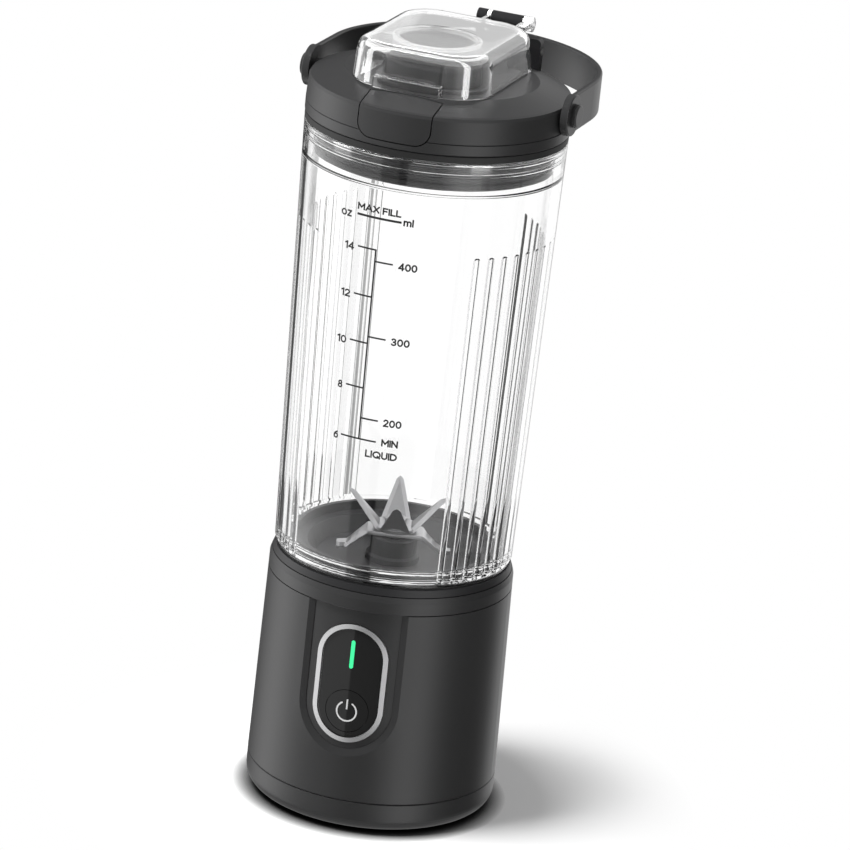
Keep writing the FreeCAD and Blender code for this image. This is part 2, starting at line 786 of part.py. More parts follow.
def blade_deck():
    bottom = deck_floor_z - deck_floor_thick
    points = [
        (0, bottom),
        (deck_body_radius, bottom),
        (deck_body_radius, deck_ledge_z + fit),
        (deck_flange_radius, deck_ledge_z + fit),
        (deck_flange_radius, rim_foot_z),
        (lip_radius(rim_foot_z) - 0.1, rim_foot_z),
        (lip_radius(rim_z), rim_z),
        (deck_ring_radius, rim_z),
        (deck_ring_radius, deck_ring_top_z - 0.5),
        (deck_ring_radius - 0.5, deck_ring_top_z),
        (deck_ring_inner, deck_ring_top_z),
        (deck_ring_inner, deck_step_z),
        (deck_step_inner, deck_step_z),
        (deck_floor_radius, deck_floor_z),
        (hub_foot_radius, deck_floor_z),
        (hub_foot_radius, hub_foot_z),
        (hub_radius, hub_foot_z + 0.6),
        (hub_radius, hub_top_z - 0.5),
        (hub_radius - 0.5, hub_top_z),
        (0, hub_top_z)]
    deck = union([lathe(points)] + thread_ridges(deck_ring_radius, thread_ridge, rim_z + 0.5, 2, 2.4))
    bore = cylinder(bearing_radius + 0.02, bottom - 1, hub_top_z + 1)
    deck = deck.cut(bore)
    pilot = cylinder(screw_radius + fit / 2, deck_ledge_z - 2, collar_lip_z + 0.1, 0, -deck_screw_pcr)
    return deck.cut(union(around(pilot, deck_screw_azimuths)))


def deck_screws():
    head_z = housing_top_z - screw_head_height
    one = screw(screw_radius, collar_lip_z - fit - head_z, head_z, 0, -deck_screw_pcr)
    return Part.makeCompound(around(one, deck_screw_azimuths))


bearing_bottoms = (deck_floor_z - deck_floor_thick + 0.4, hub_top_z - 5.6)
seal_bottom_z = bearing_bottoms[1] + bearing_height + fit


def spindle_bearings():
    rings = []
    for z in bearing_bottoms:
        ring = tube(spindle_radius + run, bearing_radius, z, z + bearing_height)
        groove = tube(3.6, 4.5, z - 0.1, z + 0.3)
        rings.append(ring.cut(groove).cut(tube(3.6, 4.5, z + bearing_height - 0.3, z + bearing_height + 0.1)))
    return Part.makeCompound(rings)


def shaft_seal():
    top = hub_top_z - 0.2
    return lathe([(spindle_radius + run, seal_bottom_z), (bearing_radius, seal_bottom_z), (bearing_radius, top),
                  (spindle_radius + 1.2, top), (spindle_radius + run, top - 0.7)])


blade_base_z = hub_top_z + 0.5
upper_blade_z = blade_base_z + blade_thick + washer_thick
nut_z = upper_blade_z + blade_thick
coupling_z = mount_top_z + 0.6


def drive_coupling():
    body = cylinder(coupling_radius, coupling_z, coupling_z + coupling_length)
    body = body.cut(cylinder(motor_shaft_radius, coupling_z - 1, mount_top_z + shaft_reach))
    body = body.cut(cylinder(spindle_radius, mount_top_z + shaft_reach + 0.4, coupling_z + coupling_length + 1))
    flute = cylinder(1.2, coupling_z - 1, coupling_z + coupling_length + 1, 0, -coupling_radius - 0.5)
    return body.cut(union(around(flute, (0, 60, 120, 180, 240, 300))))


def blade_spindle():
    low = cylinder(spindle_radius, mount_top_z + shaft_reach + 0.4, blade_base_z)
    tang = cylinder(spindle_tang_radius, blade_base_z - 1, nut_z + nut_height + 0.4)
    return low.fuse(tang).removeSplitter()


def upper_arm():
    """One pointed arm along +X, bent up at its root."""
    root = upper_hub_radius - 2.0
    length = upper_arm_length
    corners = [Vector(root, -upper_arm_root, 0), Vector(root + length, -upper_arm_tip, 0),
               Vector(root + length + upper_arm_tip, 0, 0), Vector(root + length, upper_arm_tip, 0),
               Vector(root, upper_arm_root, 0)]
    arm = Part.Face(Part.makePolygon(corners + corners[:1])).extrude(Vector(0, 0, blade_thick))
    arm.rotate(Vector(root, 0, blade_thick), Vector(0, 1, 0), -upper_pitch)
    arm.translate(Vector(0, 0, upper_blade_z))
    return arm


def upper_blade():
    hub = cylinder(upper_hub_radius, upper_blade_z, upper_blade_z + blade_thick)
    arms = around(upper_arm(), [step * 360 / upper_arm_count for step in range(upper_arm_count)])
    blade = union([hub] + arms).cut(cylinder(60, upper_blade_z - 20, upper_blade_z))
    return turned(blade.cut(cylinder(spindle_tang_radius, upper_blade_z - 1, nut_z + 20)), blade_rest_angle)


def lower_blade():
    z1 = blade_base_z + blade_thick
    low = z1 - lower_drop
    t = blade_thick
    right = [(lower_flat, z1), (lower_knee, low), (lower_reach, low), (lower_reach, low - t),
             (lower_knee - t / 2, low - t), (lower_flat - t / 2, z1 - t)]
    left = [(-x, z) for x, z in reversed(right)]
    corners = [Vector(x, -20, z) for x, z in right + left]
    strip = Part.Face(Part.makePolygon(corners + corners[:1])).extrude(Vector(0, 40, 0))
    w, tip = lower_half_width, lower_tip_half_width
    plan = [(-lower_reach - 1, -w), (-lower_flat, -w), (lower_flat, -w), (lower_reach + 1, w - 2 * tip),
            (lower_reach + 1, w), (lower_flat, w), (-lower_flat, w), (-lower_reach - 1, 2 * tip - w)]
    outline = [Vector(x, y, low - 10) for x, y in plan]
    prism = Part.Face(Part.makePolygon(outline + outline[:1])).extrude(Vector(0, 0, 30))
    blade = strip.common(prism).cut(cylinder(spindle_tang_radius, low - 10, z1 + 10))
    return turned(blade, blade_rest_angle)


def blade_washer():
    z0 = blade_base_z + blade_thick
    return tube(spindle_tang_radius, 5.0, z0, z0 + washer_thick)


def blade_nut():
    hexagon = [polar(nut_radius, 60 * step, nut_z) for step in range(6)]
    nut = Part.Face(Part.makePolygon(hexagon + hexagon[:1])).extrude(Vector(0, 0, nut_height))
    nut = nut.common(lathe([(0, nut_z), (nut_radius, nut_z), (nut_radius, nut_z + nut_height - 0.6),
                            (nut_radius - 0.8, nut_z + nut_height), (0, nut_z + nut_height)]))
    return nut.cut(cylinder(spindle_tang_radius, nut_z - 1, nut_z + nut_height + 1))


# Jar

def jar_seal():
    return tube(deck_flange_radius + 0.4, jar_foot_radius - 0.4, rim_z, jar_bottom_z)


def jar_ribs():
    """Half-round ribs on the inner wall, with round ends."""
    ribs = []
    depth = jar_wall - rib_radius + rib_proud
    start = Vector(0, depth - jar_radius(rib_bottom_z), rib_bottom_z)
    end = Vector(0, depth - jar_radius(rib_top_z), rib_top_z)
    axis = end.sub(start)
    rod = Part.makeCylinder(rib_radius, axis.Length, start, axis)
    rod = union([rod, Part.makeSphere(rib_radius, end), Part.makeSphere(rib_radius, start)])
    pitch = (180.0 - 2 * rib_window) / (rib_count - 1)
    for side in (-1, 1):
        ribs += around(rod, [side * (rib_window + pitch * step) for step in range(rib_count)])
    return ribs


def jar():
    inner_bottom = jar_radius(jar_bottom_z) - jar_wall
    inner_top = jar_radius(jar_top_z) - jar_wall
    body = lathe([(0, jar_bottom_z), (jar_foot_radius, jar_bottom_z), (jar_foot_radius, jar_bottom_z + 0.5),
                  (jar_radius(jar_shoulder_z), jar_shoulder_z), (jar_top_radius - 0.02, jar_top_z - 0.5),
                  (jar_top_radius - 0.5, jar_top_z), (0, jar_top_z)])
    body = body.cut(lathe([(0, jar_bottom_z - 1), (inner_bottom, jar_bottom_z - 1), (inner_bottom, jar_bottom_z),
                           (inner_top, jar_top_z), (inner_top, jar_top_z + 1), (0, jar_top_z + 1)]))
    low_turns = thread_ridges(inner_bottom + 0.05, -thread_ridge + 0.1, jar_bottom_z + 1.2, 2, 2.4)
    high_turns = thread_ridges(jar_radius(plug_bottom_z) - jar_wall + 0.1, -thread_ridge, plug_bottom_z + 4.7, 2, 2.6)
    return body.multiFuse(low_turns + high_turns + jar_ribs())


# Lid

def lid_profile(inset):
    """Outer form of the lid shell, moved inwards."""
    return [(collar_radius - inset, shell_bottom_z), (lid_edge_radius + 0.1 - inset, lid_edge_z - lid_edge_round),
            (lid_edge_radius - 0.35 - inset * 0.9, lid_edge_z - 0.35 - inset * 0.5),
            (lid_edge_radius - lid_edge_round - inset * 0.8, lid_edge_z - inset),
            (lid_top_radius - inset * 0.3, lid_top_z - inset)]


def lid_form(inset, low):
    outer = lid_profile(inset)
    foot = [(0, low)]
    if low < shell_bottom_z:
        foot.append((outer[0][0], low))
    return lathe(foot + outer + [(0, lid_top_z - inset)])


def lever_window(margin, low):
    """Prism over the lever's place, open to the front, with rounded lower corners."""
    half = lever_half + margin
    z0 = lever_bottom_z - margin
    corner = lever_corner + margin
    prism = box(-half, half, -60, lever_back_y + margin, z0 + corner, lid_top_z + 5)
    foot = box(-half + corner, half - corner, -60, lever_back_y + margin, z0, z0 + corner)
    rounds = [Part.makeCylinder(corner, 60 + lever_back_y + margin, Vector(x, -60, z0 + corner), Vector(0, 1, 0))
              for x in (-half + corner, half - corner)]
    shape = union([prism, foot] + rounds)
    return shape.cut(box(-60, 60, -70, 70, low - 60, low))


def lid_shell():
    low = shell_bottom_z
    shell = lid_form(0, low).cut(lid_form(lid_wall, low - 1))
    half = lever_half + lever_boss_inset
    behind = box(-half, half, -60, lever_pocket_y + 2.0, low, lid_top_z)
    under = box(-half, half, lever_pocket_y, lever_back_y + 2.4, lever_pocket_floor - 2.0, lid_top_z)
    backing = behind.fuse(under).removeSplitter().common(lid_form(lid_wall / 2, low))
    shell = shell.fuse(backing).cut(lever_pocket())
    shell = shell.cut(cylinder(spout_throat + 1.5, lid_top_z - 10, lid_top_z + 10, 0, spout_y))
    return shell.cut(handle_bores())


lever_pocket_y = -lid_edge_radius + pocket_depth
lever_pocket_floor = lid_top_z - lever_skin - 3.4


def lever_pocket():
    window = lever_window(lever_seam, 0)
    front = window.common(box(-60, 60, -60, lever_pocket_y, 0, 300))
    top = window.common(box(-60, 60, -60, 60, lever_pocket_floor, 300))
    pin = cross_cylinder(lever_pin_radius + run, -lever_half - 2, lever_half + 2, lever_pivot_y, lever_pivot_z)
    return front.fuse(top).fuse(pin)


def handle_bores():
    bores = []
    for x0, x1 in ((lid_edge_radius - 6, lid_edge_radius + 6), (-lid_edge_radius - 6, -lid_edge_radius + 6)):
        bores.append(cross_cylinder(handle_pin_radius + run, x0, x1, 0, handle_pivot_z))
    return bores[0].fuse(bores[1])


def lid_collar():
    ring = lathe([(plug_radius + 0.2, gasket_top_z + fit), (collar_radius - seam_chamfer, gasket_top_z + fit),
                  (collar_radius, gasket_top_z + fit + seam_chamfer), (collar_radius, collar_top_z - seam_chamfer),
                  (collar_radius - seam_chamfer, collar_top_z), (plug_radius + 0.2, collar_top_z)])
    kept = cylinder(collar_radius - lever_skin - lever_swing, gasket_top_z, collar_top_z + 1)
    return ring.cut(lever_window(lever_seam, 0).cut(kept))


def lid_gasket():
    return lathe([(plug_radius + 0.2, jar_top_z + fit), (gasket_radius - seam_chamfer, jar_top_z + fit),
                  (gasket_radius, jar_top_z + fit + seam_chamfer), (gasket_radius, gasket_top_z - seam_chamfer),
                  (gasket_radius - seam_chamfer, gasket_top_z), (plug_radius + 0.2, gasket_top_z)])


def lid_plug():
    inner = plug_radius - plug_wall
    top = collar_top_z
    points = [(inner, plug_bottom_z), (plug_radius - 0.6, plug_bottom_z), (plug_radius, plug_bottom_z + 0.5),
              (plug_radius, top), (inner, top)]
    plug = union([lathe(points)] + thread_ridges(plug_radius, thread_ridge, plug_bottom_z + 3.4, 3, 2.6))
    return plug.cut(Part.makeTorus(plug_seal_mean, plug_seal_radius + fit / 2, Vector(0, 0, plug_seal_z)))


def plug_seal():
    return Part.makeTorus(plug_seal_mean, plug_seal_radius, Vector(0, 0, plug_seal_z))


def release_lever():
    skin = lid_form(0, 0).cut(lid_form(lever_skin, -5))
    lever = skin.common(lever_window(0, 0))
    boss = cross_cylinder(lever_boss_radius, -lever_half + lever_boss_inset, lever_half - lever_boss_inset, lever_pivot_y, lever_pivot_z)
    neck = box(-lever_half + lever_boss_inset, lever_half - lever_boss_inset, -lid_edge_radius + 1.0, lever_pivot_y,
               lever_pivot_z - lever_boss_radius, lever_pivot_z + lever_boss_radius)
    neck = neck.common(lid_form(0.5, 0))
    lever = lever.fuse(boss).fuse(neck).removeSplitter()
    bore = cross_cylinder(lever_pin_radius + run, -lever_half - 5, lever_half + 5, lever_pivot_y, lever_pivot_z)
    gap = cross_cylinder(lever_boss_radius + 0.6, -spring_room, spring_room, lever_pivot_y, lever_pivot_z)
    gap = gap.common(box(-60, 60, -lid_edge_radius + lever_skin - 0.6, 0, 0, 300))
    return lever.cut(bore).cut(gap)


spring_room = spring_turns * spring_pitch / 2 + 0.8


def lever_pin():
    return cross_cylinder(lever_pin_radius, -lever_half - 1.9, lever_half + 1.9, lever_pivot_y, lever_pivot_z)


def lever_spring():
    """Torsion spring around the lever's pin, with one leg against the lid."""
    radius = lever_pin_radius + 0.15 + spring_wire_radius
    length = spring_turns * spring_pitch
    helix = Part.makeHelix(spring_pitch, length, radius)
    circle = Part.Circle(Vector(radius, 0, 0), Vector(0, 1, 0), spring_wire_radius).toShape()
    coil = Part.Wire(helix).makePipeShell([Part.Wire(circle)], True, True)
    leg = Part.makeCylinder(spring_wire_radius, spring_leg, Vector(radius, 0, 0), Vector(0, 1, 0))
    spring = coil.fuse(leg)
    spring.translate(Vector(0, 0, -length / 2))
    spring.rotate(Vector(0, 0, 0), Vector(0, 1, 0), 90)
    spring.translate(Vector(0, lever_pivot_y, lever_pivot_z))
    return spring


def spout_block():
    body = rounded_prism(block_half, block_front_y, block_back_y, block_front_round, block_back_round,
                         lid_top_z, block_top_z)
    body = round_edges(body, 1.2, lambda edge: edge.BoundBox.ZMin > block_top_z - 0.01)
    neck = Part.makeCone(spout_foot_radius, spout_rim_radius, spout_top_z - block_top_z + 2.4,
                         Vector(0, spout_y, block_top_z - 2.4))
    neck = round_edges(neck, 0.5, lambda edge: edge.BoundBox.ZMin > spout_top_z - 0.01)
    foot = cylinder(spout_throat + 1.4, lid_top_z - lid_wall - 2, lid_top_z + 1, 0, spout_y)
    body = union([body, neck, foot])
    bowl_depth = spout_top_z - lid_top_z - 1.5
    bowl = Part.makeCone(spout_throat, spout_bore, bowl_depth, Vector(0, spout_y, spout_top_z - bowl_depth))
    bore = cylinder(spout_throat, lid_top_z - 10, spout_top_z, 0, spout_y)
    return body.cut(bowl).cut(bore)


# Flip cap

def cap_form(inset, top, bottom):
    """Drafted form of the cap, moved inwards."""
    low = rounded_wire(cap_half - inset, cap_front_y + inset, cap_back_y - inset,
                       cap_front_round - inset, cap_back_round - inset, bottom)
    high = rounded_wire(cap_top_half - inset, cap_top_front_y + inset, cap_top_back_y - inset,
                        cap_top_front_round - inset, cap_top_back_round - inset, top)
    return Part.makeLoft([low, high], True, True)


def flip_cap():
    outer = cap_form(0, cap_top_z, cap_bottom_z)
    outer = round_edges(outer, cap_top_round, lambda edge: edge.BoundBox.ZMin > cap_top_z - 0.01)
    inner = cap_form(cap_wall, cap_top_z - cap_wall, cap_bottom_z - 1)
    inner = round_edges(inner, cap_top_round - cap_wall,
                        lambda edge: edge.BoundBox.ZMin > cap_top_z - cap_wall - 0.01)
    shell = outer.cut(inner)
    back = box(-tower_half - 0.6, tower_half + 0.6, cap_back_y - cap_back_round - 1, 60, 0, hinge_z - knuckle_radius - 0.2)
    opening = box(-tower_half + 1.6, tower_half - 1.6, 0, 60, 0, hinge_z - knuckle_radius - 0.2)
    shell = shell.cut(back.common(opening))
    tab = box(-tab_half, tab_half, cap_front_y - tab_depth + 0.4, cap_front_y + 0.8, tab_bottom_z,
              tab_bottom_z + tab_height)
    tab = tab.makeFillet(0.5, tab.Edges)
    arms = []
    for x0, x1 in (clear_rib, clear_knuckle):
        arms.append(cross_cylinder(knuckle_radius, x0, x1, hinge_y, hinge_z))
        arms.append(box(x0, x1, cap_top_back_y - 5, hinge_y, cap_top_z - cap_wall, cap_top_z))
    shell = union([shell, tab] + arms)
    for x0, x1 in (short_knuckle, long_knuckle):
        shell = shell.cut(cross_cylinder(knuckle_radius + play, x0 - play, x1 + play, hinge_y, hinge_z))
    return shell.cut(cross_cylinder(hinge_pin_radius + run, -30, 30, hinge_y, hinge_z))


def cap_seal():
    top = cap_top_z - cap_wall
    mean = (spout_bore + spout_rim_radius) / 2
    return tube(mean - cap_seal_width / 2, mean + cap_seal_width / 2, top - cap_seal_height, top, 0, spout_y)


def hinge_tower():
    low_z = lid_edge_z - 1
    front_y = tower_back_y - tower_thick
    shoulders = box(-tower_half, tower_half, front_y, tower_back_y, low_z, tower_shoulder_z)
    shoulders = shoulders.makeFillet(1.4, [e for e in shoulders.Edges
                                           if e.BoundBox.ZMin > tower_shoulder_z - 0.01 and e.BoundBox.YLength > 1])
    web = box(hinge_left, hinge_right, front_y, tower_back_y, low_z, hinge_z)
    barrel = cross_cylinder(knuckle_radius, hinge_left, hinge_right, hinge_y, hinge_z)
    tower = union([shoulders, web, barrel])
    tower = tower.cut(box(short_knuckle[1], long_knuckle[0], 0, 60, hinge_z - knuckle_radius - play, hinge_z + 10))
    tower = tower.cut(box(-60, 60, tower_back_y, 60, 0, 300))
    tower = tower.cut(lid_form(-fit / 2, 0))
    tower = tower.cut(cross_cylinder(hinge_pin_radius, -60, 60, hinge_y, hinge_z))
    return tower.cut(tower_pin_bores())


tower_pin_y = tower_back_y - tower_thick / 2


def tower_pin_bores():
    bores = [cross_cylinder(tower_pin_radius, x0, x0 + tower_pin_length, tower_pin_y, tower_pin_z)
             for x0 in (tower_half - tower_pin_length + 0.01, -tower_half - 0.01)]
    return bores[0].fuse(bores[1])


def tower_pin():
    pins = [cross_cylinder(tower_pin_radius, x0, x0 + tower_pin_length, tower_pin_y, tower_pin_z)
            for x0 in (tower_half - tower_pin_length + 0.3, -tower_half - 0.3)]
    return Part.makeCompound(pins)


def cap_hinge_pin():
    return cross_cylinder(hinge_pin_radius, hinge_left + 0.2, clear_knuckle[1] - 0.2, hinge_y, hinge_z)


# Handle

def handle_strap():
    r0, r1 = handle_outer - handle_thick, handle_outer
    z0, z1 = handle_pivot_z - handle_height / 2, handle_pivot_z + handle_height / 2
    bend = tube(r0, r1, z0, z1, 0, handle_arm).common(box(-60, 60, handle_arm, 90, z0, z1))
    arms = [box(x, x + handle_thick, 0, handle_arm, z0, z1) for x in (-r1, r0)]
    strap = union([bend] + arms)
    strap = round_edges(strap, 0.6, long_edge)
    parts = [strap]
    for side in (-1, 1):
        x0, x1 = sorted((side * (r0 + 0.01), side * (r1 + eye_thick)))
        parts.append(round_edges(cross_cylinder(eye_radius, x0, x1, 0, handle_pivot_z), 0.4,
                                 lambda edge, s=side, x=max(abs(x0), abs(x1)): abs(edge.BoundBox.XMin - s * x) < 0.01
                                 and abs(edge.BoundBox.XMax - s * x) < 0.01))
    strap = union(parts)
    return strap.cut(cross_cylinder(handle_pin_radius + run, -60, 60, 0, handle_pivot_z))


def long_edge(edge):
    box_ = edge.BoundBox
    return box_.ZLength < 0.01 and edge.Length > handle_thick + 1


def handle_pins():
    pins = []
    for side in (-1, 1):
        inner, outer = lid_edge_radius - lid_wall - 0.4, handle_outer + eye_thick + 0.1
        x0, x1 = sorted((side * inner, side * (outer + pin_head_height)))
        h0, h1 = sorted((side * outer, side * (outer + pin_head_height)))
        head = cross_cylinder(pin_head_radius, h0, h1, 0, handle_pivot_z)
        face_x = side * (outer + pin_head_height)
        head = round_edges(head, 0.5, lambda edge, x=face_x: abs(edge.BoundBox.XMin - x) < 0.01
                           and abs(edge.BoundBox.XMax - x) < 0.01)
        pins.append(head.fuse(cross_cylinder(handle_pin_radius, x0, x1, 0, handle_pivot_z)).removeSplitter())
    return Part.makeCompound(pins)


base_pieces = (base_cap, foot_pad, base_screws, motor_housing, base_collar, panel_ring, panel_inlay, power_button,
               light_bar, led_chip, control_board, button_switch, motor_can, motor_end_cap, motor_magnets,
               armature, motor_shaft, motor_mount, motor_screws, mount_screws, battery_holder, battery_cells,
               cell_pads, charge_board, charge_socket, port_cover, blade_deck, deck_screws, spindle_bearings,
               shaft_seal, drive_coupling, blade_spindle, lower_blade, blade_washer, upper_blade, blade_nut,
               jar_seal)
jar_pieces = (jar,)
lid_pieces = (lid_shell, lid_collar, lid_gasket, lid_plug, plug_seal, release_lever, lever_pin, lever_spring,
              spout_block, flip_cap, cap_seal, hinge_tower, tower_pin, cap_hinge_pin, handle_strap, handle_pins)


def main():
    os.makedirs("parts", exist_ok=True)
    for pieces, angle in ((base_pieces, 0), (jar_pieces, jar_turn), (lid_pieces, lid_turn)):
        for piece in pieces:
            shape = turned(piece(), angle)
            shape.exportStep("parts/" + piece.__name__ + ".step")
            print(piece.__name__, len(shape.Solids), round(shape.Volume, 1), shape.isValid())


main()
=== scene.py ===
import math

import bmesh
import bpy
from mathutils import Matrix, Vector


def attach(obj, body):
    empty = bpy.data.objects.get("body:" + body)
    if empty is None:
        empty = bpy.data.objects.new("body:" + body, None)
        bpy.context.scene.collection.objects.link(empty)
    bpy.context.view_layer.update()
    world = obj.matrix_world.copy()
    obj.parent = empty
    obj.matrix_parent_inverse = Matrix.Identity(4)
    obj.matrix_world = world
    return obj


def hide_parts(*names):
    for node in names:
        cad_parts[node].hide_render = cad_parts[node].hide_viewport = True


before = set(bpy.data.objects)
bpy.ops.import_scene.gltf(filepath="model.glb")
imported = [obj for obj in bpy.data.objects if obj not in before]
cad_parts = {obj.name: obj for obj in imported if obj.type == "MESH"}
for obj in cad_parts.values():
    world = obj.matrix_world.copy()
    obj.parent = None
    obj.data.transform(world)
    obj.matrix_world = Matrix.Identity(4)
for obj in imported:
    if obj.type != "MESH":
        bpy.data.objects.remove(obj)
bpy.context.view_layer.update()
scene = bpy.context.scene
mm = 0.001  # lengths below are millimetres, in the frame's own axes
jarTurn = -2.5  # degrees about Z, where 0 is the front and positive goes towards +X
lidTurn = -4.9
print("frame loaded,", len(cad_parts), "nodes")


# helpers for node trees
def addNode(tree, kind, **settings):
    node = tree.nodes.new(kind)
    for name, value in settings.items():
        if name in node.inputs:
            node.inputs[name].default_value = value
        else:
            setattr(node, name, value)
    return node


def link(tree, source, target):
    tree.links.new(source, target)


def maths(tree):  # gives a function that adds one math node and returns its result
    def calc(operation, a, b=0.0, c=0.0, clamp=False):
        node = tree.nodes.new("ShaderNodeMath")
        node.operation = operation
        node.use_clamp = clamp
        for socket, value in zip(node.inputs, (a, b, c)):
            if isinstance(value, (int, float)):
                socket.default_value = value
            else:
                tree.links.new(value, socket)
        return node.outputs[0]
    return calc


def ramp(calc, value, start, width):  # 0 up to the start, 1 from the start plus the width
    return calc("MULTIPLY_ADD", value, 1 / width, -start / width, clamp=True)


def mixColour(tree, factor, first, second):
    node = tree.nodes.new("ShaderNodeMix")
    node.data_type = "RGBA"
    for socket, value in ((node.inputs[0], factor), (node.inputs[6], first), (node.inputs[7], second)):
        if isinstance(value, tuple):
            socket.default_value = (*value, 1.0)
        else:
            tree.links.new(value, socket)
    return node.outputs[2]


def shaderGroup(name, inputs, outputs):
    tree = bpy.data.node_groups.new(name, "ShaderNodeTree")
    for label, kind, value in inputs:
        socket = tree.interface.new_socket(label, in_out="INPUT", socket_type=kind)
        if value is not None:
            socket.default_value = value
    for label, kind in outputs:
        tree.interface.new_socket(label, in_out="OUTPUT", socket_type=kind)
    return tree, tree.nodes.new("NodeGroupInput"), tree.nodes.new("NodeGroupOutput")


def useGroup(tree, group, **values):
    node = tree.nodes.new("ShaderNodeGroup")
    node.node_tree = group
    for name, value in values.items():
        node.inputs[name].default_value = value
    return node


def outwards(azimuth, elevation):  # unit vector from the object, angles in degrees
    a, e = math.radians(azimuth), math.radians(elevation)
    return Vector((math.sin(a) * math.cos(e), -math.cos(a) * math.cos(e), math.sin(e)))


cameraSettings = {"azimuth": 14.1, "elevation": 18.73, "roll": 5.9, "distance": 1601.0, "target": (0, 0, 128.1),
                  "focal": 5150.0, "frame": 850.0,  # both in pixels
                  "sensor": 36.0, "shift": (0.0205, -0.0206), "clip": (50.0, 20000.0)}


def makeCamera(c):
    turn, roll = math.radians(c["azimuth"]), math.radians(c["roll"])
    back = outwards(c["azimuth"], c["elevation"])
    right = Vector((math.cos(turn), math.sin(turn), 0))
    up = back.cross(right)
    data = bpy.data.cameras.new("camera")
    data.sensor_width = c["sensor"]
    data.lens = c["focal"] / c["frame"] * c["sensor"]
    data.shift_x, data.shift_y = c["shift"]
    data.clip_start, data.clip_end = (end * mm for end in c["clip"])
    camera = bpy.data.objects.new("camera", data)
    scene.collection.objects.link(camera)
    place = Matrix((math.cos(roll) * right + math.sin(roll) * up,
                    -math.sin(roll) * right + math.cos(roll) * up, back)).transposed().to_4x4()
    place.translation = (Vector(c["target"]) + back * c["distance"]) * mm
    camera.matrix_world = place
    scene.camera = camera


makeCamera(cameraSettings)
print("camera placed")


# what clear walls, gloss and sharp reflections see, by direction
# a card is (azimuth, half width, softness, level) in degrees, and adds its level to the base
surroundSettings = {
    "glassBase": 0.05,
    "glassCards": [(156.5, 51.5, 2, 1.08), (26, 34, 2, 1.08), (274, 53, 4, 1.0), (87, 17, 4, 1.0),
                   (196.5, 0.12, 0.12, -0.7), (197.4, 0.9, 0.1, -0.15), (192.4, 0.4, 0.1, -0.1),
                   (190.0, 2.0, 0.2, -0.05)],
    "glossBase": 0.08,
    "glossCards": [(-60, 46, 2, 0.45), (-93, 24, 46, 1.5), (48, 18, 22, 1.9), (165, 20, 20, 1.0)],
    "glareBase": 0.0,
    "glareCards": [(-72, 10, 5, 14.0), (57, 9, 5, 16.0)],
    "glareSteps": [(0.1, 1.0), (0.45, 3.4)],  # rise of the ray, and what is added above it
    "glareLow": -0.28, "glareHigh": -0.24,  # the glare fades in between these rises
    "skyLow": 0.25, "skyHigh": 0.75, "skyTop": 0.3,
    "fill": 0.13,  # what matte surfaces get
}


def cardGroup(name, base, cards):
    tree, gin, gout = shaderGroup(name, [("Direction", "NodeSocketVector", None)], [("Level", "NodeSocketFloat")])
    calc = maths(tree)
    split = addNode(tree, "ShaderNodeSeparateXYZ")
    link(tree, gin.outputs[0], split.inputs[0])
    angle = calc("ARCTAN2", split.outputs[0], calc("MULTIPLY", split.outputs[1], -1.0))
    angle = calc("MODULO", calc("ADD", calc("MULTIPLY", angle, 180 / math.pi), 360.0), 360.0)
    total = base
    for middle, half, soft, level in cards:
        gap = calc("ABSOLUTE", calc("SUBTRACT", angle, middle % 360))
        gap = calc("MINIMUM", gap, calc("SUBTRACT", 360.0, gap))
        mask = calc("MULTIPLY_ADD", gap, -1 / soft, half / soft + 0.5, clamp=True)
        mask = calc("MULTIPLY", calc("MULTIPLY", mask, mask), calc("MULTIPLY_ADD", mask, -2.0, 3.0))
        total = calc("MULTIPLY_ADD", mask, level, total)
    link(tree, total, gout.inputs[0])
    return tree


def makeWorld(c):
    world = bpy.data.worlds.new("studio")
    scene.world = world
    world.use_nodes = True
    tree = world.node_tree
    tree.nodes.clear()
    calc = maths(tree)
    ray = addNode(tree, "ShaderNodeTexCoord").outputs["Generated"]
    path = addNode(tree, "ShaderNodeLightPath")
    level = {}
    for kind in ("glass", "gloss", "glare"):
        group = useGroup(tree, cardGroup(kind + "Surround", c[kind + "Base"], c[kind + "Cards"]))
        link(tree, ray, group.inputs[0])
        level[kind] = group.outputs[0]
    split = addNode(tree, "ShaderNodeSeparateXYZ")
    link(tree, ray, split.inputs[0])
    rise = split.outputs[2]
    height = ramp(calc, rise, c["skyLow"], c["skyHigh"] - c["skyLow"])
    sky = mixColour(tree, height, level["gloss"], (c["skyTop"],) * 3)
    bright = level["glare"]
    for start, extra in c["glareSteps"]:
        bright = calc("ADD", bright, calc("MULTIPLY", calc("GREATER_THAN", rise, start), extra))
    above = ramp(calc, rise, c["glareLow"], c["glareHigh"] - c["glareLow"])
    bright = calc("MULTIPLY", calc("MULTIPLY", above, bright), path.outputs["Is Singular Ray"])
    shine = addNode(tree, "ShaderNodeVectorMath", operation="ADD")
    link(tree, sky, shine.inputs[0])
    link(tree, bright, shine.inputs[1])
    colour = mixColour(tree, path.outputs["Is Glossy Ray"], (c["fill"],) * 3, shine.outputs[0])
    colour = mixColour(tree, path.outputs["Is Transmission Ray"], colour, level["glass"])
    colour = mixColour(tree, path.outputs["Is Camera Ray"], colour, (1, 1, 1))
    background = addNode(tree, "ShaderNodeBackground")
    link(tree, colour, background.inputs["Color"])
    out = addNode(tree, "ShaderNodeOutputWorld")
    link(tree, background.outputs[0], out.inputs["Surface"])


floorSettings = {"size": 6000.0, "colour": 0.86, "lift": 0.06,  # the lift is a faint glow of the matte floor
                 "paintedShadowReach": 6.0, "depth": 2.6, "samples": 12,  # painted contact shadow: the floor's colour is darkened where the base stands
                 "plain": 55.0, "fade": 50.0,  # from here on it fades to white
                 "rim": 0.5, "rimReach": 44.0}  # painted highlight: a glow that only gloss sees, next to the base, lays a light rim along the base's bottom edge
